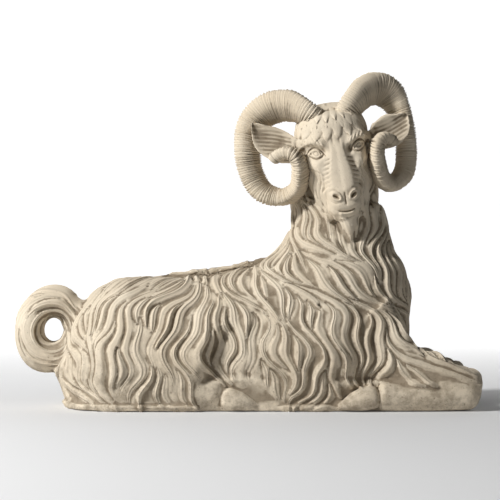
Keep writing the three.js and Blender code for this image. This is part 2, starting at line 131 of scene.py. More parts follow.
def smooth_path(points, t):
    """Points and unit tangents of the curve through the given points, at shares t of its spans:
    each span is the cubic whose end slopes are half the step between the two neighbours."""
    p = np.asarray(points, float)
    p = np.vstack([2 * p[0] - p[1], p, 2 * p[-1] - p[-2]])
    place = np.clip(t, 0.0, 1.0) * (len(p) - 3)
    i = np.minimum(place.astype(int), len(p) - 4)
    w = (place - i)[..., None]
    a, b, c, d = p[i], p[i + 1], p[i + 2], p[i + 3]
    start = (c - a) / 2
    end = (d - b) / 2
    at = (
        (2 * w**3 - 3 * w**2 + 1) * b
        + (w**3 - 2 * w**2 + w) * start
        + (3 * w**2 - 2 * w**3) * c
        + (w**3 - w**2) * end
    )
    slope = (6 * w**2 - 6 * w) * (b - c) + (3 * w**2 - 4 * w + 1) * start + (3 * w**2 - 2 * w) * end
    return at, unit(slope)


def carry(path, facing, rings, sides, section):
    """A profile carried along a path, as a grid of points. At each share t of the path the profile
    lies in the plane across it: point = centre + a * across + b * ahead, where ahead is the facing
    direction with its part along the path taken off, and (a, b) = section(t, angle). The rings are
    a count of even steps, or the shares themselves."""
    t = np.linspace(0.0, 1.0, rings + 1) if np.isscalar(rings) else rings
    centre, along = smooth_path(path, t)
    towards = facing(t) if callable(facing) else np.broadcast_to(facing, centre.shape)
    ahead = unit(towards - along * dot(along, towards)[:, None])
    across = np.cross(along, ahead)
    angle = np.arange(sides) / sides * 2 * math.pi
    a, b = section(t[:, None], angle[None, :])
    return centre[:, None] + a[..., None] * across[:, None] + b[..., None] * ahead[:, None]


def oval(table, size, round_start=0.0, round_end=0.0, power=1.0):
    """An oval profile whose half-width and half-depth come from rows [t, width, depth], closed to
    a quarter round over a share of t at each end."""

    def section(t, angle):
        width, depth = through(table, t)
        ends = np.ones_like(t)
        if round_start:
            ends = ends * np.sqrt(1 - np.clip(1 - t / round_start, 0, 1) ** 2)
        if round_end:
            ends = ends * np.sqrt(1 - np.clip((t - 1 + round_end) / round_end, 0, 1) ** 2)
        scale = size * np.maximum(ends, 0.06)
        return width * scale * boxy(np.cos(angle), power), depth * scale * boxy(np.sin(angle), power)

    return section


def closed_surface(grid):
    """Points and triangles of a grid whose columns close round, with a fan over each end."""
    rings, sides = grid.shape[:2]
    points = np.vstack([grid.reshape(-1, 3), grid[0].mean(0), grid[-1].mean(0)])
    i, j = np.meshgrid(np.arange(rings - 1), np.arange(sides), indexing="ij")
    a = (i * sides + j).ravel()
    b = (i * sides + (j + 1) % sides).ravel()
    side = np.arange(sides)
    following = (side + 1) % sides
    last = (rings - 1) * sides
    start = np.full(sides, rings * sides)
    triangles = np.vstack(
        [
            np.column_stack([a, b, b + sides]),
            np.column_stack([a, b + sides, a + sides]),
            np.column_stack([start, following, side]),
            np.column_stack([start + 1, last + side, last + following]),
        ]
    )
    corners = points[triangles]
    volume = dot(corners[:, 0], np.cross(corners[:, 1], corners[:, 2])).sum()
    return points, triangles if volume > 0 else triangles[:, ::-1]


def spine_height(s, x):
    """Height of the spine: level along the back, then two smooth steps up to the withers."""
    share = (x - s.rump_x) / s.body_length
    return s.back_height * (1 + 0.06 * smooth(0.4, 0.54, share) + 0.16 * smooth(0.52, 0.66, share))


def flank_swell(s, x, z):
    """How far the flank stands out: a thigh with a steep front edge, and a bell for the ribs."""
    rear = (x - s.rump_x) / s.body_length
    up = z / s.back_height
    edge = 0.4 + 0.065 * smooth(0.45, 0.68, up)
    thigh = 0.1 * (1 - smooth(edge - 0.01, edge + 0.045, rear)) * bell(up - 0.45, 0.5)
    ribs = 0.075 * bell(rear - 0.72, 0.2) * bell(up - 0.5, 0.42)
    return s.body_width * (thigh * smooth(0.0, 0.16, rear) + ribs)


def body_form(s):
    """The body, as columns that fall from the spine to the ground all round. With v the share of
    the way down and a = v * 90 degrees, a column reaches out by sin(a) to a power below 1 on the
    flanks and near 1 at the ends, and its height is the spine's times cos(a) to the power 0.8."""
    rear = s.rump_x + 0.2 * s.body_length
    front = s.breast_x - 0.06 * s.body_length
    fore = front - 0.17 * s.body_length
    along = np.linspace(0, 1, 80, endpoint=False)
    turn = np.linspace(0, math.pi, 60, endpoint=False)
    half = s.body_width / 2
    flank = np.zeros_like(along)
    x = np.concatenate(
        [fore + (rear - fore) * along, rear + 0 * turn, rear + (fore - rear) * along, fore + 0 * turn]
    )
    dx = np.concatenate([flank, -(rear - s.rump_x) * np.sin(turn), flank, (front - fore) * np.sin(turn)])
    dy = np.concatenate(
        [flank - half, -half * boxy(np.cos(turn), 0.9), flank + half, half * boxy(np.cos(turn), 0.9)]
    )
    length = np.hypot(dx, dy)
    ox, oy = dx / length, dy / length
    end_on = np.abs(ox)
    v = np.linspace(0, 1, 61)[:, None]
    a = v * math.pi / 2
    out = np.sin(a) ** (0.62 + 0.5 * end_on)
    z = spine_height(s, x + dx * 0.5) * np.maximum(np.cos(a), 0) ** 0.8
    swell = flank_swell(s, x + dx * out, z) * np.sin(a) ** 2 * np.abs(oy)
    far = length * out * (1 - (0.04 + 0.06 * end_on) * smooth(0.84, 1, v)) + swell
    return np.stack([x + ox * far, oy * far, z + 0 * far], axis=-1)


def neck_form(s):
    """The neck and breast: a boxed oval carried up a leaning path. A row holds the height as a share
    of the neck's, and as shares of its half-width the shift along x, the width, the shift along y
    and the depth."""
    half = s.neck_width / 2
    rows = np.array(
        [
            [0.1, -0.02, 1.5, 0, 1.46],
            [0.34, 0.0, 1.54, 0, 1.46],
            [0.42, 0.03, 1.53, 0, 1.42],
            [0.49, 0.02, 1.42, 0, 1.34],
            [0.56, -0.02, 1.3, 0, 1.22],
            [0.62, -0.02, 1.2, 0, 1.1],
            [0.69, -0.01, 1.1, 0, 1.0],
            [0.76, -0.07, 1.0, 0.02, 0.9],
            [0.83, -0.06, 0.92, -0.02, 0.76],
            [0.9, -0.08, 0.88, -0.2, 0.64],
            [0.96, -0.12, 0.85, -0.32, 0.58],
            [1, -0.26, 0.5, -0.4, 0.4],
        ]
    )
    share = np.linspace(0, 1, len(rows))
    path = np.column_stack([s.neck_x + rows[:, 1] * half, rows[:, 3] * half, rows[:, 0] * s.neck_height])
    sizes = np.column_stack([share, rows[:, 2], rows[:, 4]])
    return carry(path, FRONT, 60, 72, oval(sizes, half, power=0.92))


def head_form(s):
    """The skull and muzzle from the poll to the chin: a section with its own reach ahead and back,
    boxed behind, and boxed in front too where it narrows to the muzzle. A row holds the height, the
    half-width and the reach ahead and back as shares of the head's length. The half-widths are then
    scaled so that the widest is half of the head's width."""
    rows = np.array(
        [
            [0.17, 0.08, -0.02, -0.14],
            [0.145, 0.15, 0.04, -0.22],
            [0.09, 0.215, 0.105, -0.3],
            [0, 0.256, 0.145, -0.34],
            [-0.1, 0.265, 0.155, -0.34],
            [-0.18, 0.272, 0.165, -0.32],
            [-0.26, 0.255, 0.175, -0.3],
            [-0.36, 0.22, 0.19, -0.26],
            [-0.48, 0.165, 0.21, -0.18],
            [-0.58, 0.13, 0.225, -0.1],
            [-0.66, 0.12, 0.23, -0.05],
            [-0.72, 0.115, 0.212, -0.02],
            [-0.77, 0.09, 0.178, 0.0],
            [-0.805, 0.05, 0.12, 0.03],
        ]
    )
    scale = s.head_length
    wide = s.head_width / 2 / rows[:, 1].max()
    table = np.column_stack([np.linspace(0, 1, len(rows)), rows])
    path = s.on_head(0 * rows[:, 0], (rows[:, 2] + rows[:, 3]) / 2 * scale, rows[:, 0] * scale)

    def section(t, angle):
        up, width, ahead, back = through(table, t)
        c, n = np.cos(angle), np.sin(angle)
        front = n > 0
        muzzle = smooth(-0.22, -0.42, up)
        right = width * wide * (1 + 0.28 * np.maximum(-n, 0))
        right = right * np.where(front, boxy(c, 1.05 - 0.33 * muzzle), boxy(c, 0.8))
        far = (ahead - back) / 2 * scale * np.where(front, boxy(n, 0.95 - 0.23 * muzzle), boxy(n, 0.9))
        return right, far

    return carry(path, s.face, 90, 64, section)


def throat_form(s):
    """The wool of the jaw and throat, which the muzzle stands out of: an oval carried down."""
    path = [[0, -0.08, -0.2], [0, -0.05, -0.42], [0, -0.04, -0.64], [0, -0.08, -0.9], [0, -0.12, -1.1]]
    rows = [[0, 0.27, 0.17], [0.25, 0.275, 0.16], [0.5, 0.24, 0.13], [0.8, 0.2, 0.12], [1, 0.12, 0.08]]
    path = s.on_head(*np.array(path).T * s.head_length)
    return carry(path, s.face, 40, 48, oval(rows, s.head_length, round_start=0.15))


def beard_form(s):
    """The beard: a tapering oval carried down from under the chin."""
    path = np.array([[0, 0.06, -0.7], [0.01, 0.08, -0.82], [0.02, 0.075, -0.91], [0.03, 0.05, -1.02]])
    rows = [[0, 0.1, 0.1], [0.4, 0.095, 0.09], [0.75, 0.065, 0.06], [1, 0.015, 0.02]]
    return carry(s.on_head(*path.T * s.head_length), s.face, 24, 24, oval(rows, s.head_length))


def ear_form(s, side, lift):
    """An ear: a thin leaf carried out to the side, bent so that its edges stand ahead of its middle."""
    spine = np.array(
        [
            [0.44, -0.06, -0.46],
            [0.75, -0.06, -0.48],
            [1.1, -0.12, -0.38 + 0.2 * lift],
            [1.42, -0.12, -0.22 + 0.5 * lift],
            [1.66, -0.08, lift],
        ]
    )
    leaf = [
        [0, 0.13, 0.1],
        [0.2, 0.2, 0.085],
        [0.55, 0.34, 0.07],
        [0.76, 0.31, 0.06],
        [0.92, 0.14, 0.05],
        [1, 0.02, 0.03],
    ]

    def section(t, angle):
        width, depth = through(leaf, t)
        c = np.cos(angle)
        cup = 0.12 * (c * c - 0.5) * np.minimum(1, 4 * t)
        return s.ear_length * width * c, s.ear_length * (depth * np.sin(angle) + cup)

    path = s.on_head(*(spine * [side, 1, 1] * s.ear_length).T)
    return carry(path, s.face, 40, 40, section)


def tail_form(s):
    """The tail: a round carried once round a ring that stands at the rump."""
    angle = np.radians(10 + 335 * np.linspace(0, 1, 12))
    turn = np.column_stack([np.cos(angle), 0.12 * np.cos(angle - 0.6), 1.1 * np.sin(angle)])
    path = s.tail_centre + s.tail_ring_radius * turn
    return carry(path, FRONT, 90, 32, oval([[0, 1, 1.12], [1, 1, 1.12]], s.tail_thickness / 2))


def foreleg_forms(s):
    """A folded foreleg: an oval from the shoulder down to the knee, and one back along the ground."""
    knee = s.breast_x + s.knee_reach
    leg = s.leg_thickness
    y = -0.4 * s.body_width
    arm = [
        [knee - 3.9 * leg, y + 20, 0.64 * s.back_height],
        [knee - 2.8 * leg, y + 6, 0.36 * s.back_height],
        [knee - 1.5 * leg, y - 2, 1.15 * leg],
        [knee - 0.6 * leg, y - 4, 0.88 * leg],
        [knee, y - 4, 0.66 * leg],
    ]
    arm_rows = [[0, 2.5, 1.25], [0.3, 1.6, 1.25], [0.6, 1.15, 1.15], [1, 1.1, 1.05]]
    shank = [
        [knee - 0.1 * leg, y - 5, 0.46 * leg],
        [knee - 1.2 * leg, y - 10, 0.45 * leg],
        [knee - 2.5 * leg, y - 16, 0.44 * leg],
        [knee - 3.45 * leg, y - 18, 0.5 * leg],
    ]
    shank_rows = [[0, 0.9, 0.95], [0.5, 0.9, 0.9], [0.8, 0.86, 0.86], [1, 0.95, 0.95]]
    return [
        carry(arm, FRONT, 50, 32, oval(arm_rows, leg / 2, round_end=0.2, power=0.85)),
        carry(shank, FRONT, 50, 32, oval(shank_rows, leg / 2, round_start=0.12, round_end=0.1)),
    ]


def hoof_forms(s, x, y, way, size):
    """A cloven hoof: two tapering ovals side by side, the far one a little higher."""
    reach = 1.35 * s.leg_thickness * size
    half = s.leg_thickness / 2 * size
    rows = [[0, 0.78, 0.6], [0.45, 0.74, 0.6], [0.8, 0.44, 0.42], [1, 0.16, 0.2]]
    toes = []
    for side, lift in ((1, 0.0), (-1, 0.45)):
        path = [
            [x, y - side * 0.32 * half, half * (1.05 + lift)],
            [x + way * 0.5 * reach, y - side * 0.42 * half, half * (0.72 + lift)],
            [x + way * reach, y - side * 0.36 * half, half * 0.3],
        ]
        toes.append(carry(path, FRONT, 24, 24, oval(rows, half, round_start=0.2)))
    return toes


def hind_foot_form(s):
    """The hind pastern that shows under the thigh: an oval carried forward along the ground."""
    leg = s.leg_thickness
    y = -0.42 * s.body_width
    x = s.rump_x + 0.36 * s.body_length
    path = [
        [x - 0.6 * leg, y + 10, 0.85 * leg],
        [x + 0.4 * leg, y - 4, 0.64 * leg],
        [x + 1.4 * leg, y - 8, 0.58 * leg],
    ]
    rows = [[0, 1.2, 1.1], [0.5, 0.98, 1], [1, 0.9, 0.95]]
    return carry(path, FRONT, 30, 28, oval(rows, leg / 2, round_end=0.25))


def ground_form(s):
    """The low ground: a rounded rectangle carried up, drawn in by a quarter round at its top."""
    short_at_tail, short_at_knees = 14, 8
    length = s.body_length + s.knee_reach - 2 * s.ground_inset - (short_at_tail + short_at_knees)
    width = s.body_width - s.ground_inset
    edge = 0.4 * s.ground_thickness
    rows = [[0, 1], [0.7, 1], [0.9, 0.6], [1, 0]]
    x = s.rump_x + s.ground_inset + short_at_tail + length / 2
    path = [[x, 0, -14], [x, 0, -6], [x, 0, s.ground_thickness * 0.6], [x, 0, s.ground_thickness]]

    def section(t, angle):
        (grow,) = through(rows, t)
        a = (width / 2 + edge * grow) * boxy(np.cos(angle), 0.32)
        b = (length / 2 + edge * grow) * boxy(np.sin(angle), 0.18)
        return a, b

    return carry(path, np.array([1.0, 0.0, 0.0]), 24, 160, section)


def horn_form(s, side, wide, tall, shift, tuck, splay):
    """A horn: a boxed oval band carried along a loop from the poll to the curl at the cheek, its
    front bevelled towards the inside of the loop, with rings round it. Three profiles make a ring:
    one in the groove between rings, and two on it, spaced along the path's length. A turn of the
    loop holds the distance to the side, ahead and up, as shares of the loop's size."""
    turns = np.array(
        [
            [0.06, -0.06, -0.06],
            [0.21, -0.01, 0.13],
            [0.38, -0.1, 0.26],
            [0.6, -0.19, 0.26],
            [0.78, -0.24, 0.11],
            [0.855, -0.22, -0.14],
            [0.845, -0.22, -0.38],
            [0.76, -0.19, -0.57],
            [0.59, -0.13, -0.65],
            [0.46, -0.04, -0.58],
            [0.42, 0.07, -0.4],
            [0.45, 0.12, -0.27],
            [0.53, 0.1, -0.22],
            [0.62, 0.06, -0.24],
            [0.67, 0.03, -0.28],
        ]
    )
    rows = [
        [0, 0.75, 0.8],
        [0.12, 1, 1.22],
        [0.34, 1, 1.16],
        [0.46, 1, 1],
        [0.58, 0.88, 0.86],
        [0.75, 0.74, 0.66],
        [0.92, 0.6, 0.5],
        [1, 0.5, 0.42],
    ]
    place = np.arange(len(turns))
    right = turns[:, 0] + (wide - 1) * np.maximum(turns[:, 0] - 0.42, 0)
    right = side * (right + shift * bell(place - 2.5, 2) - tuck * smooth(7, 9, place))
    high = (turns[:, 2] + 0.17) * tall - 0.17
    path = s.on_head(right * s.horn_loop, turns[:, 1] * s.horn_loop, high * s.horn_loop)
    turn = math.radians(splay)
    outward = s.face * math.cos(turn) + s.across * side * math.sin(turn)
    fine = np.linspace(0, 1, 600)
    steps = np.linalg.norm(np.diff(smooth_path(path, fine)[0], axis=0), axis=1)
    rate = steps / (1 + 0.4 * fine[1:])
    count = 3 * s.horn_rings
    row = np.arange(count + 1)
    wanted = (row + 0.5 * np.sin(row / 3 * 0.9) + 0.4 * np.sin(row / 3 * 2.3)) / count
    stops = np.interp(wanted, np.append(0, np.cumsum(rate) / rate.sum()), fine)
    stops[-1] = 1.0
    number = row // 3
    uneven = 0.8 + 0.25 * np.sin(number * 2.7) + 0.2 * np.sin(number * 0.61)
    ring = np.array([-1.0, 0.9, 0.4])[row % 3] * uneven

    def facing(t):
        return outward + s.crown * (1.4 * (1 - smooth(0.2, 0.48, t)))[:, None]

    def section(t, angle):
        width, depth = through(rows, t)
        swell = ring[:, None] * s.ring_height * (1 - 0.15 * t) * smooth(0, 0.02, t) * smooth(1, 0.98, t)
        end = np.maximum(np.sqrt(1 - np.clip((t - 0.985) / 0.015, 0, 1) ** 2), 0.4)
        a = (s.horn_thickness / 2 * width + swell) * boxy(np.cos(angle), 0.64) * end
        b = (s.horn_breadth / 2 * depth + swell) * boxy(np.sin(angle), 0.64) * end
        b = b * (1 - 0.42 * (np.sin(angle) > 0) * smooth(-0.35, 1.0, side * np.cos(angle)))
        return a, b

    return carry(path, facing, stops, 22, section)


class Field:
    """Distances from a surface on a regular grid of cells, below zero inside it."""

    def __init__(self, low, high, cell, band):
        self.cell = cell
        self.band = band
        self.low = np.floor(np.asarray(low) / cell).astype(int) - 3
        self.high = np.ceil(np.asarray(high) / cell).astype(int) + 3
        self.values = np.full(self.high - self.low + 1, band, np.float32)

    def add(self, grid, blend):
        """Joins a form on. Where the two distances a and b differ by less than blend, the joint is
        filled: smaller of a and b, less (blend - |a - b|) squared over 4 times blend."""
        points, triangles = closed_surface(grid)
        spacing = openvdb.createLinearTransform(voxelSize=self.cell)
        form = openvdb.FloatGrid.createLevelSetFromPolygons(
            points.astype(np.float32),
            triangles=np.ascontiguousarray(triangles, np.int32),
            transform=spacing,
            halfWidth=self.band / self.cell,
        )
        low, high = form.evalActiveVoxelBoundingBox()
        low = np.maximum(low, self.low)
        high = np.minimum(high, self.high)
        near = np.empty(high - low + 1, np.float32)
        form.copyToArray(near, ijk=tuple(int(v) for v in low))
        start = low - self.low
        end = start + near.shape
        part = self.values[start[0] : end[0], start[1] : end[1], start[2] : end[2]]
        fill = np.maximum(blend - np.abs(part - near), 0)
        np.minimum(part, near, out=part)
        part -= fill * fill / (4 * blend)

    def cut_floor(self):
        """Cuts everything below height zero away: the larger of the distance and minus the height."""
        z = (np.arange(self.low[2], self.high[2] + 1) * self.cell).astype(np.float32)
        np.maximum(self.values, -z[None, None, :], out=self.values)

    def at(self, points):
        """The distance at any points: the eight cells round each, weighted by nearness."""
        place = points / self.cell - self.low
        i = np.clip(np.floor(place).astype(int), 0, np.array(self.values.shape) - 2)
        w = place - i
        total = np.zeros(len(points))
        for corner in np.ndindex(2, 2, 2):
            j = i + corner
            near = np.where(corner, w, 1 - w).prod(axis=1)
            total += near * self.values[j[:, 0], j[:, 1], j[:, 2]]
        return total

    def normal(self, points):
        """The direction in which the distance grows, from its change over a step along each axis."""
        step = 1.5 * self.cell
        change = [self.at(points + step * axis) - self.at(points - step * axis) for axis in np.eye(3)]
        return unit(np.stack(change, axis=-1))

    def surface(self):
        """Points and quads of the surface where the distance is zero."""
        grid = openvdb.FloatGrid(float(self.band))
        grid.transform = openvdb.createLinearTransform(voxelSize=self.cell)
        grid.copyFromArray(self.values, ijk=tuple(int(v) for v in self.low))
        points, quads = grid.convertToQuads(isovalue=0.0)
        a, b, c = (points[quads[:, k]] for k in range(3))
        if dot(a, np.cross(b, c)).sum() < 0:
            quads = quads[:, ::-1]
        return points.astype(float), quads


def statue_sizes(props):
    """The user's sizes in millimetres, with the places and axes that follow from them."""
    names = [n for n, p in props.rna_type.properties.items() if p.subtype == "DISTANCE"]
    s = SimpleNamespace(**{name: getattr(props, name) * 1000 for name in names})
    s.horn_rings = props.horn_rings
    s.rump_x = s.breast_x - s.body_length
    s.neck_x = s.breast_x - 0.8 * s.neck_width
    yaw, roll = props.head_yaw, props.head_roll
    level = np.array([math.cos(yaw), math.sin(yaw), 0.0])
    s.face = np.array([math.sin(yaw), -math.cos(yaw), 0.0])
    s.across = level * math.cos(roll) + UP * math.sin(roll)
    s.crown = UP * math.cos(roll) - level * math.sin(roll)
    s.head_at = np.array([s.neck_x - 18, -0.42 * s.neck_width, 1.08 * s.neck_height])
    s.tail_centre = np.array([s.rump_x - 0.19 * s.tail_ring_radius, -10, 0.592 * s.back_height])

    def on_head(right, ahead, up):
        right, ahead, up = (np.asarray(v, float)[..., None] for v in (right, ahead, up))
        return s.head_at + right * s.across + ahead * s.face + up * s.crown

    s.on_head = on_head
    return s


def head_places(s, points):
    """Distances of points from the middle of the skull: across, ahead and up."""
    away = points - s.head_at
    return away @ s.across, away @ s.face, away @ s.crown


def coat(s, points):
    """How the fleece lies at each point: the spacing and depth of its locks and the length of the
    longest, each blended between the body, neck, tail, cheeks and brow, with no depth on bare skin."""
    x, y, z = points.T
    right, ahead, up = head_places(s, points)
    neck = smooth(255, 330, z)
    tail = tail_share(s, points)
    head = smooth(-200, -150, up) * bell(right / 82, 1.0) * smooth(-60, -30, ahead)
    head = np.clip(head * 1.6, 0, 1) * smooth(330, 350, z)
    brow = smooth(-24, -12, up) * head
    beard = beard_share(right, ahead, up)
    spacing = 13.0 - 2.5 * neck - 2.0 * tail - 2.5 * head + 4.0 * brow + 2.0 * beard
    depth = 7.6 - 1.6 * neck - 2.6 * tail - 2.4 * head - 1.8 * brow
    reach = 230 - 90 * neck - 60 * head - 48 * brow
    forehead = smooth(-28, -20, up) * smooth(66, 58, np.abs(right)) * smooth(-30, -12, ahead)
    poll = smooth(26, 38, up) * bell(right / 90, 1.0)
    fore_hoof = smooth(115, 135, x) * smooth(60, 46, z) * smooth(100, 112, np.abs(y))
    hind_foot = smooth(1.2, 0.85, np.hypot((x + 47) / 76, (z - 18) / 42)) * smooth(100, 114, np.abs(y))
    bare = np.maximum.reduce(
        [
            face_share(right, ahead, up),
            ear_share(right, ahead, up),
            forehead * smooth(400, 440, z),
            poll * smooth(440, 480, z),
            smooth(200, 235, x) * smooth(54, 42, z),
            fore_hoof,
            hind_foot,
            smooth(14, 8, z),
        ]
    )
    spine = smooth(-80, -8, y) * smooth(130, 80, y)
    depth = depth * (1 - 0.4 * spine * smooth(320, 290, z) * smooth(175, 205, z))
    depth = depth * (1 - 0.45 * smooth(250, 370, x) * smooth(150, 90, z))
    cheek = smooth(64, 30, np.abs(right)) * smooth(-50, -60, up)
    cheek = cheek * smooth(-140, -120, up) * smooth(0, 20, ahead)
    depth = depth * (1 - 0.5 * cheek * smooth(400, 420, z))
    return spacing, depth * (1 - bare), reach


def tail_share(s, points):
    """1 on the tail's ring and 0 on the body."""
    away = points - s.tail_centre
    ring = np.hypot(away[:, 0], away[:, 2] / 1.1) - s.tail_ring_radius
    return bell(ring, 40) * smooth(s.rump_x + 34, s.rump_x - 2, points[:, 0])


def face_share(right, ahead, up):
    """1 on the bare skin of the face and 0 on wool."""
    side = np.abs(right)
    edge = 54 - 26 * smooth(-66, -92, up) + 8 * smooth(-108, -122, up)
    skin = smooth(edge + 3, edge - 4, side) * smooth(-14, -24, up) * smooth(-176, -166, up)
    return skin * smooth(-14, 2, ahead)


def beard_share(right, ahead, up):
    """1 on the beard and 0 elsewhere."""
    return bell(right, 24) * smooth(-222, -212, up) * smooth(-158, -166, up) * smooth(-14, 0, ahead)


def ear_share(right, ahead, up):
    """1 on the ears and 0 elsewhere."""
    side = np.abs(right)
    return smooth(66, 74, side) * smooth(-72, -62, up) * smooth(-60, -40, ahead) * smooth(60, 40, up)


# Places where the wool changes its slant, seen from the side: x and z in millimetres, and degrees
# from straight down, more than zero where it leans towards the knees
SWAYS_OF_RUMP = (
    (-280, 200, -30), (-340, 120, 45), (-290, 100, -30), (-290, 50, 30), (-220, 180, -25),
    (-230, 125, 15), (-230, 50, -15), (-160, 170, -35), (-170, 110, -5), (-150, 50, 20),
)
SWAYS_OF_BARREL = (
    (-90, 200, 20), (-100, 145, -35), (-95, 95, 20), (-50, 165, 35), (-30, 105, -25),
    (0, 200, 35), (20, 150, -5), (60, 115, 25), (0, 60, 30), (90, 55, -30),
)
SWAYS_OF_SHOULDER = (
    (110, 200, 35), (120, 150, 0), (155, 165, 20), (165, 105, -5), (205, 110, -30),
    (140, 80, 30), (215, 190, 45), (240, 130, 50), (280, 80, 65),
)
SWAYS_OF_NECK = (
    (95, 275, 50), (160, 235, 50), (215, 260, 0), (240, 200, 20), (65, 340, 10), (35, 300, -10),
    (115, 365, 15), (160, 310, 0), (215, 330, -15),
)


def slant(x, z):
    """The wool's slant from straight down in radians at x and z: the mean of the named sways, each
    weighed by a bell of its distance, with a wave added that runs down the side."""
    sway_reach = 34
    wave_degrees, wave_length = 23, 78
    total = np.zeros(len(x))
    weights = np.full(len(x), 1e-9)
    sways = SWAYS_OF_RUMP + SWAYS_OF_BARREL + SWAYS_OF_SHOULDER + SWAYS_OF_NECK
    for place_x, place_z, degrees in sways:
        weight = bell(np.hypot(x - place_x, z - place_z), sway_reach)
        total += weight * math.radians(degrees)
        weights += weight
    phase = 2 * math.pi * z / wave_length + x / 38 + 1.5 * np.sin(x / 66)
    wave = math.radians(wave_degrees) * np.sin(phase)
    return total / weights + wave


def flow(s, points, normals):
    """The direction in which the wool lies. On the flanks it is the slant from straight down that
    the named sways give, a fifth stronger and lifted into the surface along the width so that it
    keeps that slant seen from the side. Where the surface faces up it runs back and away from
    the spine, where it faces the ends it falls in waves, round the tail it follows the ring, and on
    the brow it fans from the poll."""
    x, y, z = points.T
    lean = np.clip(1.2 * slant(x, z), -1.25, 1.25)
    pull = np.column_stack([np.sin(lean), np.zeros(len(x)), -np.cos(lean)])
    pull[:, 1] += np.abs(normals[:, 0]) ** 2 * 0.5 * np.sin(2 * math.pi * z / 112 + 1.6 * np.sin(y / 34))
    top = smooth(0.5, 0.95, normals[:, 2]) * smooth(330, 290, z)
    pull[:, 1] += top * 1.3 * np.clip(y / 14, -1, 1)
    pull[:, 0] -= top * 0.6 * np.where(x < 40, 1.0, 0.4)
    tail = tail_share(s, points)[:, None]
    away = points - s.tail_centre
    ring = unit(np.column_stack([away[:, 2], 0.15 * np.ones(len(x)), -away[:, 0]]))
    pull = pull * (1 - tail) + ring * tail * 1.4
    right, ahead, up = head_places(s, points)
    brow = (smooth(-30, -10, up) * bell(right / 80, 1) * smooth(-50, -30, ahead))[:, None]
    fan = -s.crown * 0.8 + s.across * (right / 45)[:, None] + s.face * 0.2
    pull = pull * (1 - brow) + fan * brow
    beard = (beard_share(right, ahead, up))[:, None]
    pull = pull * (1 - beard) + (-s.crown - s.across * (right / 40)[:, None]) * beard
    into = dot(pull, normals)
    facing = smooth(0.3, 0.55, np.abs(normals[:, 1])) * (1 - top) * (1 - tail[:, 0]) * (1 - beard[:, 0])
    lifted = pull - np.outer(into / np.where(facing > 0, normals[:, 1], 1.0), [0, 1, 0])
    level = pull - normals * into[:, None]
    return unit(level + (lifted - level) * facing[:, None])


def trace_locks(s, field, points, scale, seeds, seed):
    """Lines that follow the wool from scattered seeds, both ways at once. Each step moves every
    line along the flow and back onto the surface by the distance along the normal. Lines are then
    kept, longest stretches first, where no kept line runs closer than the local spacing."""
    rng = np.random.default_rng(seed)
    depth = coat(s, points)[1]
    able = np.flatnonzero(depth > 1.0)
    start = points[able[rng.permutation(len(able))[:seeds]]]
    step = 2.5
    steps_each_way = 50
    halves = []
    for way in (-1, 1):
        at = start.copy()
        normal = field.normal(at)
        track = []
        for _ in range(steps_each_way):
            at = at + way * step * flow(s, at, normal)
            normal = field.normal(at)
            at = at - normal * field.at(at)[:, None]
            track.append(at)
        halves.append(np.stack(track, axis=1))
    lines = np.concatenate([halves[0][:, ::-1], start[:, None], halves[1]], axis=1)
    shape = lines.shape[:2]
    spacing, depth, reach = (v.reshape(shape) for v in coat(s, lines.reshape(-1, 3)))
    return keep_apart(field, lines, spacing * scale, depth, reach * min(scale, 1.2), step)


def keep_apart(field, lines, spacing, depth, reach, step):
    """Picks the stretches of the lines that stay clear of those already picked, using a coarse
    grid of cells that each picked stretch fills round itself. The longest ones are picked first."""
    cell = 2.5
    least_lengths = (150, 100, 60, 38)
    kept_clear = 0.8
    low = (field.low * field.cell).astype(float)
    size = np.ceil((field.high - field.low) * field.cell / cell).astype(int) + 8
    taken = np.zeros(size, bool)
    cells = np.clip(((lines - low) / cell + 3).astype(int), 0, size - 1)
    half = lines.shape[1] // 2
    ends = int(math.ceil(kept_clear * spacing.max() / cell)) + 1
    cube = np.stack(np.meshgrid(*[np.arange(-ends, ends + 1)] * 3, indexing="ij"), -1).reshape(-1, 3)
    far = np.linalg.norm(cube, axis=1) * cell
    kept = []
    for shortest in least_lengths:
        for k in range(len(lines)):
            c = cells[k]
            if taken[c[half, 0], c[half, 1], c[half, 2]]:
                continue
            free = ~taken[c[:, 0], c[:, 1], c[:, 2]] & (depth[k] > 0.9)
            longest = int(reach[k, half] / step / 2)
            ahead = np.argmin(np.append(free[half:], False))
            behind = np.argmin(np.append(free[half::-1], False))
            first = half - min(behind, longest) + 1
            last = half + min(ahead, longest)
            if (last - first) * step < shortest:
                continue
            stretch = lines[k, max(first - 4, 0) : last + 4]
            kept.append((stretch, float(spacing[k, half]), float(depth[k, half])))
            ball = cube[far < kept_clear * spacing[k, half]]
            marks = np.clip((c[first:last:2, None] + ball[None]).reshape(-1, 3), 0, size - 1)
            taken[marks[:, 0], marks[:, 1], marks[:, 2]] = True
    return kept


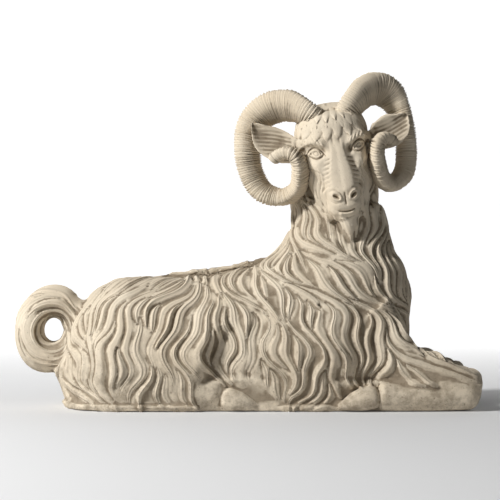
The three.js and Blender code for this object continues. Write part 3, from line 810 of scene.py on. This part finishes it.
def lock_shape(field, points, locks, seed):
    """Where each point lies on its lock: the share q from the lock's line to the groove beside it,
    the same with its sign, the lock's height, its number and the share of the nearest lock at the
    point. With u the distance to a lock's line over its half-width, q is 2 * u1 / (u1 + u2) for the
    two least values u1 and u2, so that every lock swells from groove to groove and narrows to a tip
    where its line ends."""
    rng = np.random.default_rng(seed)
    places, sides, along, widths, heights, owners = [], [], [], [], [], []
    for number, (line, spacing, depth) in enumerate(locks):
        line = line[::2]
        share = np.linspace(0, 1, len(line))
        taper = np.sin(math.pi * np.clip(share * 0.94 + 0.03, 0, 1)) ** 0.6
        normal = field.normal(line)
        tangent = unit(np.gradient(line, axis=0))
        places.append(line)
        sides.append(unit(np.cross(normal, tangent)))
        along.append(tangent)
        widths.append(0.5 * spacing * taper * (0.7 + 0.6 * rng.random()))
        heights.append(depth * (0.4 + 0.6 * taper) * (0.62 + 0.66 * rng.random()))
        owners.append(np.full(len(line), number))
    place, side, tangent = np.vstack(places), np.vstack(sides), np.vstack(along)
    width, high, owner = np.concatenate(widths), np.concatenate(heights), np.concatenate(owners)
    vertex, sample, share, signed = [], [], [], []
    reach = 1.3 * max(spacing for _, spacing, _ in locks)
    for near_point, near_vertex in close_pairs(place, points, reach):
        gap = points[near_vertex] - place[near_point]
        beside = dot(gap, side[near_point])
        ok = np.abs(dot(gap, tangent[near_point])) < 3.4
        vertex.append(near_vertex[ok])
        sample.append(near_point[ok])
        signed.append(beside[ok])
        share.append(np.abs(beside[ok]) / width[near_point[ok]])
    vertex, sample, signed, share = (np.concatenate(v) for v in (vertex, sample, signed, share))
    nearest = np.full(len(points), 2.4)
    np.minimum.at(nearest, vertex, share)
    own = share == nearest[vertex]
    chosen = np.full(len(points), -1)
    chosen[vertex[own]] = sample[own]
    beside = np.zeros(len(points))
    beside[vertex[own]] = signed[own]
    lock = np.where(chosen >= 0, owner[chosen], -1)
    other = owner[sample] != lock[vertex]
    second = np.full(len(points), 2.6)
    np.minimum.at(second, vertex[other], share[other])
    q = np.clip(2 * nearest / (nearest + second), 0, 1)
    height = np.where(chosen >= 0, high[chosen], 0.0)
    return q, np.sign(beside) * q, height, lock, nearest


def lock_relief(s, field, points, locks, seed):
    """The height of the fleece over each point: on a lock it is height * (1 - q squared), tilted to
    one side by a share that differs from lock to lock. Between tips, where no lock is near, it
    rises to a share of the full depth."""
    q, signed, height, lock, nearest = lock_shape(field, points, locks, seed)
    crest = (1 - q**2) * (1 + 0.5 * np.sin(lock * 2.399) * signed)
    gap = smooth(1.0, 1.9, nearest)
    return height * crest * (1 - gap) + 0.42 * coat(s, points)[1] * gap


def store_strands(s, target, field, locks, seed):
    """Stores what the fine strands of the wool are drawn from: an angle that grows across each lock
    at the lock's own rate, and a crest that is 1 along the lock's line and 0 at its grooves, on
    bare stone and on the horns."""
    points = mesh_points(target.data) * 1000
    q, signed, _, lock, nearest = lock_shape(field, points, locks, seed)
    strand = math.pi * (2.7 + 0.9 * np.sin(lock * 0.77)) * signed + 3 * np.sin(lock * 2.399)
    on_wool = smooth(14, 8, np.abs(field.at(points))) * smooth(0, 3, coat(s, points)[1])
    crest = smooth(0.9, 0.4, q) * smooth(1.6, 1.0, nearest) * on_wool
    for name, values in (("strand", strand), ("crest", crest)):
        layer = target.data.attributes.new(name, "FLOAT", "POINT")
        layer.data.foreach_set("value", values.astype(np.float32))


def close_pairs(centres, points, reach):
    """Pairs of a centre and a point in the same or a neighbouring cell, cell by cell offset. Points
    are sorted by cell, so that the ones in a cell are a run between two places in the order."""
    low = points.min(0) - 3 * reach
    size = ((points.max(0) - low) / reach).astype(int) + 4
    scale = np.array([size[1] * size[2], size[2], 1])
    key = ((points - low) / reach).astype(int) @ scale
    order = np.argsort(key, kind="stable")
    ordered = key[order]
    home = ((centres - low) / reach).astype(int)
    for offset in np.ndindex(3, 3, 3):
        wanted = (home + np.array(offset) - 1) @ scale
        first = np.searchsorted(ordered, wanted, side="left")
        last = np.searchsorted(ordered, wanted, side="right")
        count = last - first
        which = np.repeat(np.arange(len(centres)), count)
        within = np.arange(count.sum()) - np.repeat(np.cumsum(count) - count, count)
        chosen = order[np.repeat(first, count) + within]
        gap = points[chosen] - centres[which]
        near = dot(gap, gap) < reach * reach
        yield which[near], chosen[near]


def face_relief(right, up):
    """How far the face stands out, in millimetres, as a sum of bells and steps: socket and inner
    corner, eyeball, lids and their creases, brow and its tufts, the bridge of the nose, the hollow
    and short hairs beside it, cheek, furrow of the brow, nostrils with rim and wing, tip, the crease
    under the nose, mouth, lips and chin. The half turned to the knees is cut a little deeper."""
    side = np.abs(right)
    knee_half = smooth(-5, 5, right)
    beside = side - 37.5 - 3.0 * knee_half
    above = up + 47 - 0.05 * right - 0.24 * beside
    from_middle = np.hypot(beside, above)
    socket = -6.5 * bell(beside + 1, 13) * bell(above, 9) - 4.0 * bell(side - 55, 5) * bell(up + 42, 5)
    corner = -(5.0 + 5.0 * knee_half) * bell(side - 23, 5) * bell(up + 47, 9)
    ball = 5.6 * np.clip(1 - (from_middle / 8.2) ** 2, 0, 1) ** 0.7
    iris = -0.9 * bell(from_middle - 3.8, 0.8)
    open_eye = 1 - (beside / 11) ** 2
    upper = above - 6.8 * open_eye
    lower = above + 5.6 * open_eye
    lids = (3.4 * bell(upper, 1.5) + 2.6 * bell(lower, 1.4)) * smooth(13, 9.5, np.abs(beside))
    crease = -2.8 * bell(upper - 4.2, 1.4) * smooth(20, 12, np.abs(beside))
    crease = crease - 1.6 * bell(lower + 4.4, 1.6) * smooth(16, 10, np.abs(beside))
    ridge = up + 28.5 + np.where(side < 48, 0.016, 0.026) * (side - 48) ** 2
    brow = 7.2 * bell(ridge, np.where(ridge > 0, 11.0, 4.0)) * smooth(13, 26, side) * smooth(73, 64, side)
    tufts = 1.1 * np.sin(0.85 * side - 0.5 * ridge) * bell(ridge - 1, 6) * smooth(20, 30, side)
    edge = 11 + 10 * smooth(-42, -100, up)
    length = smooth(-30, -46, up) * smooth(-130, -118, up)
    bridge = (1.6 + 1.6 * knee_half) * smooth(edge + 4, edge - 2, side) * length
    hollow = -(2.4 + 4.6 * knee_half) * bell(side - edge - 10, 8.5)
    hollow = hollow * smooth(-56, -70, up) * smooth(-124, -106, up)
    hairs = (0.8 + 0.8 * knee_half) * np.sin(0.8 * up + 0.22 * side) * bell(side - edge - 5, 6)
    hairs = hairs * smooth(-56, -64, up) * smooth(-118, -108, up)
    cheek = 3.4 * bell(side - 45, 11) * bell(up + 68, 8) + 6.0 * bell(side - 42, 17) * bell(up + 108, 36)
    furrow = -1.2 * bell(side - 6, 2.2) * bell(up + 29, 9)
    along_slot = (side - 15.5) * 0.756 + (up + 130) * 0.656
    over_slot = (up + 130) * 0.756 - (side - 15.5) * 0.656
    nostril = -6.8 * bell(along_slot + 0.8, 5.8) * bell(over_slot + 0.02 * along_slot**2, 2.1)
    rim = 3.8 * bell(np.hypot(along_slot / 1.45, over_slot) - 5.7, 1.6)
    wing = -1.6 * bell(np.hypot(along_slot / 1.35, over_slot) - 11.2, 2.0) * smooth(10, 18, side)
    tip = 1.6 * bell(right, 9) * bell(up + 124, 10)
    philtrum = -2.4 * bell(right, 1.4) * smooth(-121, -127, up) * smooth(-150, -143, up)
    line = up + 158 - 9 * (side / 25) ** 2
    mouth = -3.6 * bell(line, 1.6) * smooth(17, 10, side) - 1.0 * bell(line, 1.6) * smooth(27, 19, side)
    lips = 1.6 * bell(line - 8, 6) * smooth(26, 12, side)
    lips = lips + 2.4 * bell(line + 4.8, 2.6) * smooth(15, 9, side)
    chin = -2.0 * bell(line + 11, 2.2) * smooth(18, 10, side)
    upper_face = socket + corner + ball + iris + lids + crease + brow + tufts
    whole_face = upper_face + bridge + hollow + hairs + cheek + furrow + nostril + rim + wing
    return whole_face + tip + philtrum + mouth + lips + chin


def forehead_tufts(right, up):
    """The tufts of the forehead, in millimetres: leaves in staggered rows that fan out from above
    the poll. With v the way along a leaf and u the way across it, a leaf is (0.15 + 0.85 v) times
    the square root of 1 - (u / (1.15 - 1.15 v to the power 4)) squared, and the highest of three
    overlapping rows counts."""
    away = np.hypot(right, 96 - up)
    turn = np.arctan2(right, 96 - up)
    row = (away + 3.0 * np.sin(7 * turn + 0.5)) / 17.0
    step = np.floor(row)
    tallest = np.zeros_like(right)
    for back in (0.0, 1.0, 2.0):
        number = step - back
        v = np.clip((row - number) / 2.5, 0, 0.999)
        place = turn / 0.17 + 0.5 * np.mod(number, 2) + 0.18 * np.sin(number * 5.1)
        leaf = np.round(place)
        odd = np.sin(leaf * 12.99 + number * 78.2)
        u = 2 * (place - leaf) + 0.35 * odd * v
        spread = np.maximum(1.15 * (1 - v**4), 0.02)
        height = (0.15 + 0.85 * v) * np.sqrt(np.clip(1 - (u / spread) ** 2, 0, 1)) * (0.8 + 0.25 * odd)
        tallest = np.maximum(tallest, height)
    height = 4.4 * tallest * smooth(-31, -20, up + 0.1 * np.abs(right))
    return height * smooth(56, 44, up) * smooth(80, 70, np.abs(right))


def averaged(edges, values, rounds):
    """Values evened out over the mesh: each round takes half of a point's own value and half of
    the mean of those it shares an edge with."""
    count = np.bincount(edges.ravel(), minlength=len(values)).astype(float)
    count = np.maximum(count, 1)
    for _ in range(rounds):
        total = np.bincount(edges[:, 0], values[edges[:, 1]], len(values))
        total += np.bincount(edges[:, 1], values[edges[:, 0]], len(values))
        values = 0.5 * values + 0.5 * total / count
    return values


def mesh_object(name, points, faces):
    """A mesh object from points in millimetres and rows of corners."""
    mesh = bpy.data.meshes.new(name)
    corners = faces.shape[1]
    mesh.vertices.add(len(points))
    mesh.vertices.foreach_set("co", (points / 1000).astype(np.float32).ravel())
    mesh.loops.add(faces.size)
    mesh.loops.foreach_set("vertex_index", faces.astype(np.int32).ravel())
    mesh.polygons.add(len(faces))
    mesh.polygons.foreach_set("loop_start", np.arange(len(faces), dtype=np.int32) * corners)
    mesh.update(calc_edges=True)
    mesh.validate()
    made = bpy.data.objects.new(name, mesh)
    bpy.context.scene.collection.objects.link(made)
    return made


def mesh_edges(mesh):
    """The mesh's edges as pairs of point numbers."""
    edges = np.empty(len(mesh.edges) * 2, np.int32)
    mesh.edges.foreach_get("vertices", edges)
    return edges.reshape(-1, 2)


def mesh_points(mesh):
    """The mesh's points, in metres."""
    co = np.empty(len(mesh.vertices) * 3, np.float32)
    mesh.vertices.foreach_get("co", co)
    return co.reshape(-1, 3).astype(float)


def mesh_normals(mesh):
    """The normals at the mesh's points."""
    normal = np.empty(len(mesh.vertices) * 3, np.float32)
    mesh.vertex_normals.foreach_get("vector", normal)
    return normal.reshape(-1, 3).astype(float)


def settle(target):
    """Works the object's modifiers into its mesh."""
    graph = bpy.context.evaluated_depsgraph_get()
    done = bpy.data.meshes.new_from_object(target.evaluated_get(graph))
    target.modifiers.clear()
    target.data = done


def drawn_in(points, box):
    """Points brought inside a box given in metres: from a soft margin short of a side on, the rest
    of the way is the margin times the hyperbolic tangent of it over the margin."""
    margin = 5.0
    low, high = (np.array(corner) * 1000 for corner in box)
    middle, half = (low + high) / 2, (high - low) / 2 - margin
    away = points - middle
    over = np.maximum(np.abs(away) - half, 0.0)
    away = np.where(over > 0, np.sign(away) * (half + margin * np.tanh(over / margin)), away)
    return middle + away


def joined_forms(s, cell):
    """The distance field of the figure without its horns: every form joined on with a blend of its
    own in millimetres, the limbs on both sides, and everything below the ground cut away."""
    field = Field((-475, -180, -12), (405, 180, 560), cell, 24.0)
    trunk = [
        (body_form(s), 1.0),
        (neck_form(s), 24.0),
        (ground_form(s), 16.0),
        (tail_form(s), 14.0),
        (head_form(s), 5.0),
        (throat_form(s), 5.0),
        (beard_form(s), 6.0),
        (ear_form(s, -1, 0.3), 6.0),
        (ear_form(s, 1, 0.0), 6.0),
    ]
    for form, blend in trunk:
        field.add(form, blend)
    leg = s.leg_thickness
    knee = s.breast_x + s.knee_reach
    hind = s.rump_x + 0.36 * s.body_length
    fore_hoof = hoof_forms(s, knee - 3.35 * leg, -0.4 * s.body_width - 17, -1, 1.0)
    hind_hoof = hoof_forms(s, hind + 1.2 * leg, -0.42 * s.body_width - 10, 1, 0.9)
    limbs = [(form, 16.0) for form in foreleg_forms(s)] + [(hind_foot_form(s), 10.0)]
    limbs += [(toe, 3.0) for toe in fore_hoof + hind_hoof]
    for form, blend in limbs:
        field.add(form, blend)
        field.add(form * np.array([1.0, -1.0, 1.0]), blend)
    field.cut_floor()
    return field


def carve_head(s, points, normals):
    """The points with the grooves beside the beard sunk into them, and the features of the face and
    the tufts of the forehead raised on them."""
    right, ahead, up = head_places(s, points)
    turned_ahead = normals @ s.face
    in_front = smooth(0.0, 0.35, turned_ahead) * smooth(-64, -44, ahead) * smooth(80, 70, np.abs(right))
    in_front *= smooth(-178, -172, up)
    gap = bell(np.abs(right - 2) - 24 - 0.42 * (up + 165), 7)
    gap = gap * smooth(-226, -210, up) * smooth(-158, -170, up)
    sunk = 5.0 * gap * smooth(-30, -10, ahead) * smooth(0.1, 0.4, turned_ahead)
    points = points - s.face * sunk[:, None]
    tufts = forehead_tufts(right, up) * smooth(440, 470, points[:, 2])
    forward = face_relief(right, up) * smooth(40, 30, up) + tufts
    return points + s.face * (forward * in_front)[:, None]


def ear_hairs(s, points):
    """How far the hairs in the ears stand out, in millimetres: a sine across slanted lines that bend
    in a slower one, only where the ears are."""
    right, ahead, up = head_places(s, points)
    hairs = np.sin(0.9 * (up - 0.31 * np.abs(right)) + 1.4 * np.sin(right / 13))
    return 0.35 * (hairs * ear_share(right, ahead, up))


def carve_figure(s, props):
    """The figure without its horns: the joined forms sunk by a share of the fleece's depth, with the
    locks, the wide folds and the features of the head raised on them. The rump swells a little
    above the base, everything is drawn in to the solid's box, and the underside is made flat. The
    field and the locks are given too."""
    cell = props.detail * 1000
    sink = 0.62
    fold_share = 0.75
    rump_swell = 7.0
    field = joined_forms(s, cell)
    points, quads = field.surface()
    normals = field.normal(points)
    locks = trace_locks(s, field, points, scale=1.0, seeds=s.seeds, seed=props.seed)
    folds = trace_locks(s, field, points, scale=3.0, seeds=s.seeds // 4, seed=props.seed + 2)
    height = lock_relief(s, field, points, locks, props.seed + 1)
    swell = lock_relief(s, field, points, folds, props.seed + 3)
    figure = mesh_object("ram_casting", points, quads)
    edges = mesh_edges(figure.data)
    height = averaged(edges, height, rounds=2)
    swell = averaged(edges, swell, rounds=45)
    depth = coat(s, points)[1]
    points = points + normals * (height - sink * depth + fold_share * (swell - sink * depth))[:, None]
    hairs = ear_hairs(s, points)
    points = carve_head(s, points, normals)
    rump = bell(points[:, 2] - 60, 34) * smooth(s.rump_x + 60, s.rump_x + 8, points[:, 0])
    points[:, 0] -= rump_swell * rump
    points = drawn_in(points, CAD_BOX) + normals * hairs[:, None]
    low = points[:, 2] < 0.8 * cell
    points[low & (normals[:, 2] < -0.5), 2] = 0.0
    points[:, 2] = np.maximum(points[:, 2], 0.0)
    figure.data.vertices.foreach_set("co", (points / 1000).astype(np.float32).ravel())
    figure.data.update()
    print("figure", len(points), "points", len(locks), "locks", len(folds), "folds")
    return figure, field, locks


def stone_material(props):
    """Pale cast stone: the ground colour drifts with two sizes of noise, hollows and the grooves
    between the fine strands are darkened by painted shade mixed with a brown wash, the lower
    parts hold a blotchy brown wash, and fine pits and grains roughen it."""
    material = bpy.data.materials.new("pale cast stone")
    material.use_nodes = True
    tree = material.node_tree
    tree.nodes.clear()
    link = tree.links.new

    def node(kind, **settings):
        made = tree.nodes.new(kind)
        for key, value in settings.items():
            setattr(made, key, value)
        return made

    def noise(scale, detail, rough, vector):
        made = node("ShaderNodeTexNoise")
        made.inputs["Scale"].default_value = scale
        made.inputs["Detail"].default_value = detail
        made.inputs["Roughness"].default_value = rough
        link(vector, made.inputs["Vector"])
        return made.outputs["Fac"]

    def spread(value, low, high, out_low=0.0, out_high=1.0):
        made = node("ShaderNodeMapRange", clamp=True)
        link(value, made.inputs["Value"])
        limits = {"From Min": low, "From Max": high, "To Min": out_low, "To Max": out_high}
        for name, number in limits.items():
            made.inputs[name].default_value = number
        return made.outputs["Result"]

    def maths(operation, a, b):
        made = node("ShaderNodeMath", operation=operation)
        for socket, value in zip(made.inputs, (a, b)):
            if isinstance(value, (int, float)):
                socket.default_value = value
            else:
                link(value, socket)
        return made.outputs[0]

    def mix(share, a, b):
        made = node("ShaderNodeMix", data_type="RGBA")
        link(share, made.inputs["Factor"])
        for name, value in (("A", a), ("B", b)):
            socket = made.inputs[6] if name == "A" else made.inputs[7]
            if isinstance(value, bpy.types.NodeSocket):
                link(value, socket)
            else:
                socket.default_value = (*value, 1.0)
        return made.outputs[2]

    where = node("ShaderNodeTexCoord").outputs["Object"]
    height = node("ShaderNodeSeparateXYZ")
    link(where, height.inputs[0])
    # Painted shade: the stored hollow value darkens the grooves and recesses of the stone, mixed with a
    # real brown wash
    hollow = node("ShaderNodeAttribute", attribute_name="hollow").outputs["Fac"]
    cloud = noise(9.0, 4.0, 0.55, where)
    grain = noise(420.0, 3.0, 0.6, where)
    blot = noise(46.0, 6.0, 0.7, where)
    pits = noise(300.0, 2.0, 0.5, where)

    crest = node("ShaderNodeAttribute", attribute_name="crest").outputs["Fac"]
    strand = maths("SINE", node("ShaderNodeAttribute", attribute_name="strand").outputs["Fac"], 0.0)
    strand = maths("MULTIPLY", strand, crest)

    base = mix(spread(cloud, 0.35, 0.65), tuple(props.stone_light), tuple(props.stone_warm))
    low_down = spread(height.outputs["Z"], 0.16, 0.0)
    # Painted shade and brown wash in the hollows, made patchy by the blots
    wash_and_painted_shade = maths("MULTIPLY", spread(hollow, 0.08, 0.72, 0.0, 0.95), spread(blot, 0.2, 0.62, 0.5, 1.0))
    # Painted shade in the grooves between the fine strands of the wool, where the strand bump is lowest
    wash_and_painted_shade = maths("MAXIMUM", wash_and_painted_shade, spread(strand, -0.3, -1.0, 0.0, 0.16))
    stain = maths("MULTIPLY", low_down, spread(blot, 0.42, 0.62))
    wash_and_painted_shade = maths("MAXIMUM", wash_and_painted_shade, maths("MULTIPLY", stain, 0.7))
    colour = mix(wash_and_painted_shade, base, tuple(props.wash_and_painted_shade))
    specks = maths("MULTIPLY", spread(pits, 0.64, 0.72), spread(low_down, 0.0, 1.0, 0.25, 0.8))
    colour = mix(specks, colour, tuple(props.speck))

    grainy = maths("MULTIPLY", grain, 0.5)
    pitted = maths("MULTIPLY", spread(pits, 0.58, 0.74, 1.0, 0.0), 0.9)
    relief = maths("ADD", grainy, pitted)
    relief = maths("ADD", relief, maths("MULTIPLY", blot, 0.9))
    bump = node("ShaderNodeBump")
    bump.inputs["Strength"].default_value = 0.35
    bump.inputs["Distance"].default_value = 0.0012
    link(relief, bump.inputs["Height"])
    strands = node("ShaderNodeBump")
    strands.inputs["Distance"].default_value = 0.0005
    link(strand, strands.inputs["Height"])
    link(bump.outputs["Normal"], strands.inputs["Normal"])

    surface = node("ShaderNodeBsdfPrincipled")
    surface.inputs["Specular IOR Level"].default_value = 0.25
    link(colour, surface.inputs["Base Color"])
    link(spread(grain, 0.3, 0.7, 0.78, 0.95), surface.inputs["Roughness"])
    link(strands.outputs["Normal"], surface.inputs["Normal"])
    link(surface.outputs[0], node("ShaderNodeOutputMaterial").inputs["Surface"])
    return material


def paper_material():
    """Pale paper that grows lighter towards the back, where it glows a little by itself."""
    material = bpy.data.materials.new("pale paper")
    material.use_nodes = True
    tree = material.node_tree
    shader = tree.nodes["Principled BSDF"]
    shader.inputs["Base Color"].default_value = (0.72, 0.72, 0.72, 1.0)
    shader.inputs["Roughness"].default_value = 0.9
    shader.inputs["Emission Color"].default_value = (1.0, 1.0, 1.0, 1.0)
    place = tree.nodes.new("ShaderNodeSeparateXYZ")
    tree.links.new(tree.nodes.new("ShaderNodeTexCoord").outputs["Object"], place.inputs[0])
    glow = tree.nodes.new("ShaderNodeMapRange")
    for name, value in (("From Min", 0.1), ("From Max", 2.0), ("To Min", 0.02), ("To Max", 0.62)):
        glow.inputs[name].default_value = value
    tree.links.new(place.outputs["Y"], glow.inputs["Value"])
    tree.links.new(glow.outputs["Result"], shader.inputs["Emission Strength"])
    return material


def store_hollows_for_shade_and_wash(target):
    """Stores how far each point lies below its surroundings: the mean of its neighbours less the
    point itself, measured along the normal and evened out, over a millimetre."""
    mesh = target.data
    edges = mesh_edges(mesh)
    points = mesh_points(mesh) * 1000
    normals = mesh_normals(mesh)
    wide = np.stack([averaged(edges, points[:, k], rounds=14) for k in range(3)], axis=-1)
    near = np.stack([averaged(edges, points[:, k], rounds=3) for k in range(3)], axis=-1)
    sunk = dot(wide - points, normals) * 0.35 + dot(near - points, normals) * 0.9
    sunk = np.clip(0.6 * sunk + 0.5 * averaged(edges, sunk, rounds=1), 0, 1).astype(np.float32)
    # The material darkens the stone by this value: painted shade in the hollows, together with a brown
    # wash
    layer = mesh.attributes.new("hollow", "FLOAT", "POINT")
    layer.data.foreach_set("value", sunk)


def length(name, description, default):
    """A length the user can set, in metres."""
    return FloatProperty(
        name=name, description=description, default=default, min=0.0, unit="LENGTH", subtype="DISTANCE"
    )


def colour(name, description, default):
    """A colour the user can set."""
    return FloatVectorProperty(
        name=name, description=description, default=default, subtype="COLOR", size=3, min=0, max=1
    )


class RamSizes(PropertyGroup):
    """The sizes of the figure."""

    body_length: length("Body length", "From the rump to the breast", 0.645)
    body_width: length("Body width", "Across the barrel", 0.272)
    back_height: length("Back height", "From the underside to the level back", 0.233)
    breast_x: length("Breast place", "Where the breast ends along the length", 0.272)
    neck_width: length("Neck width", "Across the neck below the jaw", 0.166)
    neck_height: length("Neck height", "From the underside to the top of the neck", 0.47)
    head_length: length("Head length", "From the poll to the chin", 0.208)
    head_width: length("Head width", "Across the brows", 0.13)
    horn_thickness: length("Horn thickness", "Through the band of a horn", 0.033)
    horn_breadth: length("Horn breadth", "Across the band of a horn", 0.047)
    horn_loop: length("Horn loop", "The size that the horn's loop is drawn to", 0.176)
    ring_height: length("Ring height", "How far the rings of a horn stand out", 0.0021)
    ear_length: length("Ear length", "The size that the ears are drawn to", 0.084)
    tail_ring_radius: length("Tail ring radius", "Middle of the ring to the middle of the tail", 0.046)
    tail_thickness: length("Tail thickness", "Through the tail", 0.053)
    knee_reach: length("Knee reach", "How far the knees lie ahead of the breast", 0.113)
    leg_thickness: length("Leg thickness", "Through a folded leg", 0.054)
    ground_thickness: length("Ground thickness", "Height of the low ground", 0.013)
    ground_inset: length("Ground inset", "How far the ground stays inside the figure", 0.022)
    head_yaw: FloatProperty(
        name="Head turn",
        description="Turn of the face towards the knees",
        default=math.radians(3),
        subtype="ANGLE",
    )
    head_roll: FloatProperty(
        name="Head tilt",
        description="Lean of the crown towards the tail",
        default=math.radians(9),
        subtype="ANGLE",
    )
    horn_rings: IntProperty(
        name="Horn rings", description="How many rings each horn has", default=126, min=10, max=200
    )
    detail: FloatProperty(
        name="Detail", description="Spacing of the carved points", default=0.0014, unit="LENGTH"
    )
    seed: IntProperty(name="Seed", description="Start of the scatter of the locks", default=7, min=0)


class StoneColours(PropertyGroup):
    """The colours of the stone."""

    stone_light: colour("Pale stone", "Lighter ground colour", (0.71, 0.62, 0.485))
    stone_warm: colour("Warm stone", "Warmer ground colour", (0.60, 0.51, 0.385))
    # Colour of the brown wash and low stains, and also of the painted shade in hollows and strand grooves
    wash_and_painted_shade: colour("Wash", "Brown wash that lies in hollows", (0.19, 0.145, 0.095))
    speck: colour("Specks", "Dark specks and pits", (0.22, 0.17, 0.115))


class RAM_OT_casting(Operator):
    """Builds the whole casting: figure, fleece, face, horns, legs and ground in one piece"""

    bl_idname = "ram.casting"
    bl_label = "Build Casting"

    def execute(self, context):
        props = context.scene.ram_sizes
        s = statue_sizes(props)
        s.seeds = SEEDS
        figure, field, locks = carve_figure(s, props)
        thin_out(s, figure, FIGURE_TRIANGLES)
        for shape in (HORN_AT_TAIL, HORN_AT_KNEES):
            points, faces = closed_surface(horn_form(s, **shape))
            other = mesh_object("horn", drawn_in(points, CAD_BOX), faces)
            join = figure.modifiers.new("join", "BOOLEAN")
            join.operation = "UNION"
            join.solver = "MANIFOLD"
            join.object = other
            settle(figure)
            bpy.data.objects.remove(other)
        if len(figure.data.polygons) < 1000:
            raise RuntimeError("the casting came out empty")
        store_hollows_for_shade_and_wash(figure)
        store_strands(s, figure, field, locks, props.seed + 1)
        figure.data.materials.clear()
        figure.data.materials.append(stone_material(context.scene.stone_colours))
        figure.data.shade_smooth()
        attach(figure, "root")
        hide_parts("ram_statue")
        figure.data.calc_loop_triangles()
        print("casting", len(figure.data.loop_triangles), "triangles")
        return {"FINISHED"}


def thin_out(s, figure, budget):
    """Brings the figure down to a number of triangles, more of them on the side that the face
    looks to and on the head than on the far side."""
    points = mesh_points(figure.data) * 1000
    plain = smooth(0, 50, points[:, 1]) * smooth(420, 340, points[:, 2])
    right, ahead, up = head_places(s, points)
    face = smooth(80, 65, np.abs(right)) * smooth(-180, -170, up) * smooth(0, 12, ahead)
    group = figure.vertex_groups.new(name="plainer side")
    steps = np.round(np.clip(0.6 + 0.4 * plain - 0.6 * face, 0, 1), 1)
    for weight in np.unique(steps):
        group.add(np.flatnonzero(steps == weight).tolist(), float(weight), "REPLACE")
    fewer = figure.modifiers.new("fewer faces", "DECIMATE")
    fewer.ratio = min(1.0, budget / (2 * len(figure.data.polygons)))
    fewer.vertex_group = group.name
    fewer.vertex_group_factor = 0.0002
    settle(figure)
    figure.vertex_groups.clear()


class RAM_OT_stage(Operator):
    """Builds the pale floor and backdrop, the studio light and the camera"""

    bl_idname = "ram.stage"
    bl_label = "Build Stage"

    def execute(self, context):
        angle = np.linspace(0, math.pi / 2, 24)
        bend = np.column_stack([2.2 + 1.2 * np.sin(angle), 1.2 - 1.2 * np.cos(angle)])
        profile = np.vstack([[-1.6, 0.0], bend, [3.4, 4.0]])
        x = np.array([-3.0, 3.0])
        grid = np.array([[[a, y, z - 0.0005] for a in x] for y, z in profile]) * 1000
        rows = np.arange(len(profile) - 1)
        quads = np.column_stack([2 * rows, 2 * rows + 1, 2 * rows + 3, 2 * rows + 2])
        floor = mesh_object("floor", grid.reshape(-1, 3), quads)
        floor.data.materials.append(paper_material())
        floor.data.shade_smooth()
        for name, place, energy, size in (
            ("key", (-2.45, -1.7, 2.15), 150.0, 0.5),
            ("fill", (2.4, -3.0, 1.4), 2.0, 2.0),
        ):
            light = bpy.data.lights.new(name, "AREA")
            light.energy = energy
            light.size = size
            lamp = bpy.data.objects.new(name, light)
            context.scene.collection.objects.link(lamp)
            lamp.location = place
            aim = Vector((0.0, 0.0, 0.28)) - Vector(place)
            lamp.rotation_euler = aim.to_track_quat("-Z", "Y").to_euler()
        world = bpy.data.worlds.new("studio")
        world.use_nodes = True
        world.node_tree.nodes["Background"].inputs["Color"].default_value = (0.96, 0.98, 1.0, 1.0)
        world.node_tree.nodes["Background"].inputs["Strength"].default_value = 0.07
        context.scene.world = world
        camera = bpy.data.objects.new("camera", bpy.data.cameras.new("camera"))
        camera.data.sensor_width = 36.0
        camera.data.lens = 36.0 * 1748.6 / 500
        camera.location = (-0.024, -3.2, 0.283)
        camera.rotation_euler = (math.pi / 2, 0.0, 0.0)
        context.scene.collection.objects.link(camera)
        context.scene.camera = camera
        context.scene.view_settings.view_transform = "Standard"
        return {"FINISHED"}


class RAM_PT_panel(Panel):
    """Lists the sizes, the colours and the two builders"""

    bl_idname = "RAM_PT_panel"
    bl_label = "Ram Statue"
    bl_space_type = "VIEW_3D"
    bl_region_type = "UI"
    bl_category = "Ram Statue"

    def draw(self, context):
        layout = self.layout
        for group in (context.scene.ram_sizes, context.scene.stone_colours):
            column = layout.column()
            for name in group.__annotations__:
                column.prop(group, name)
        layout.operator(RAM_OT_casting.bl_idname)
        layout.operator(RAM_OT_stage.bl_idname)


CLASSES = (RamSizes, StoneColours, RAM_OT_casting, RAM_OT_stage, RAM_PT_panel)


def register():
    for cls in CLASSES:
        bpy.utils.register_class(cls)
    bpy.types.Scene.ram_sizes = PointerProperty(type=RamSizes)
    bpy.types.Scene.stone_colours = PointerProperty(type=StoneColours)


def unregister():
    del bpy.types.Scene.stone_colours
    del bpy.types.Scene.ram_sizes
    for cls in reversed(CLASSES):
        bpy.utils.unregister_class(cls)


def main():
    register()
    bpy.ops.ram.casting()
    bpy.ops.ram.stage()
    bpy.context.view_layer.update()


if __name__ == "__main__":
    main()
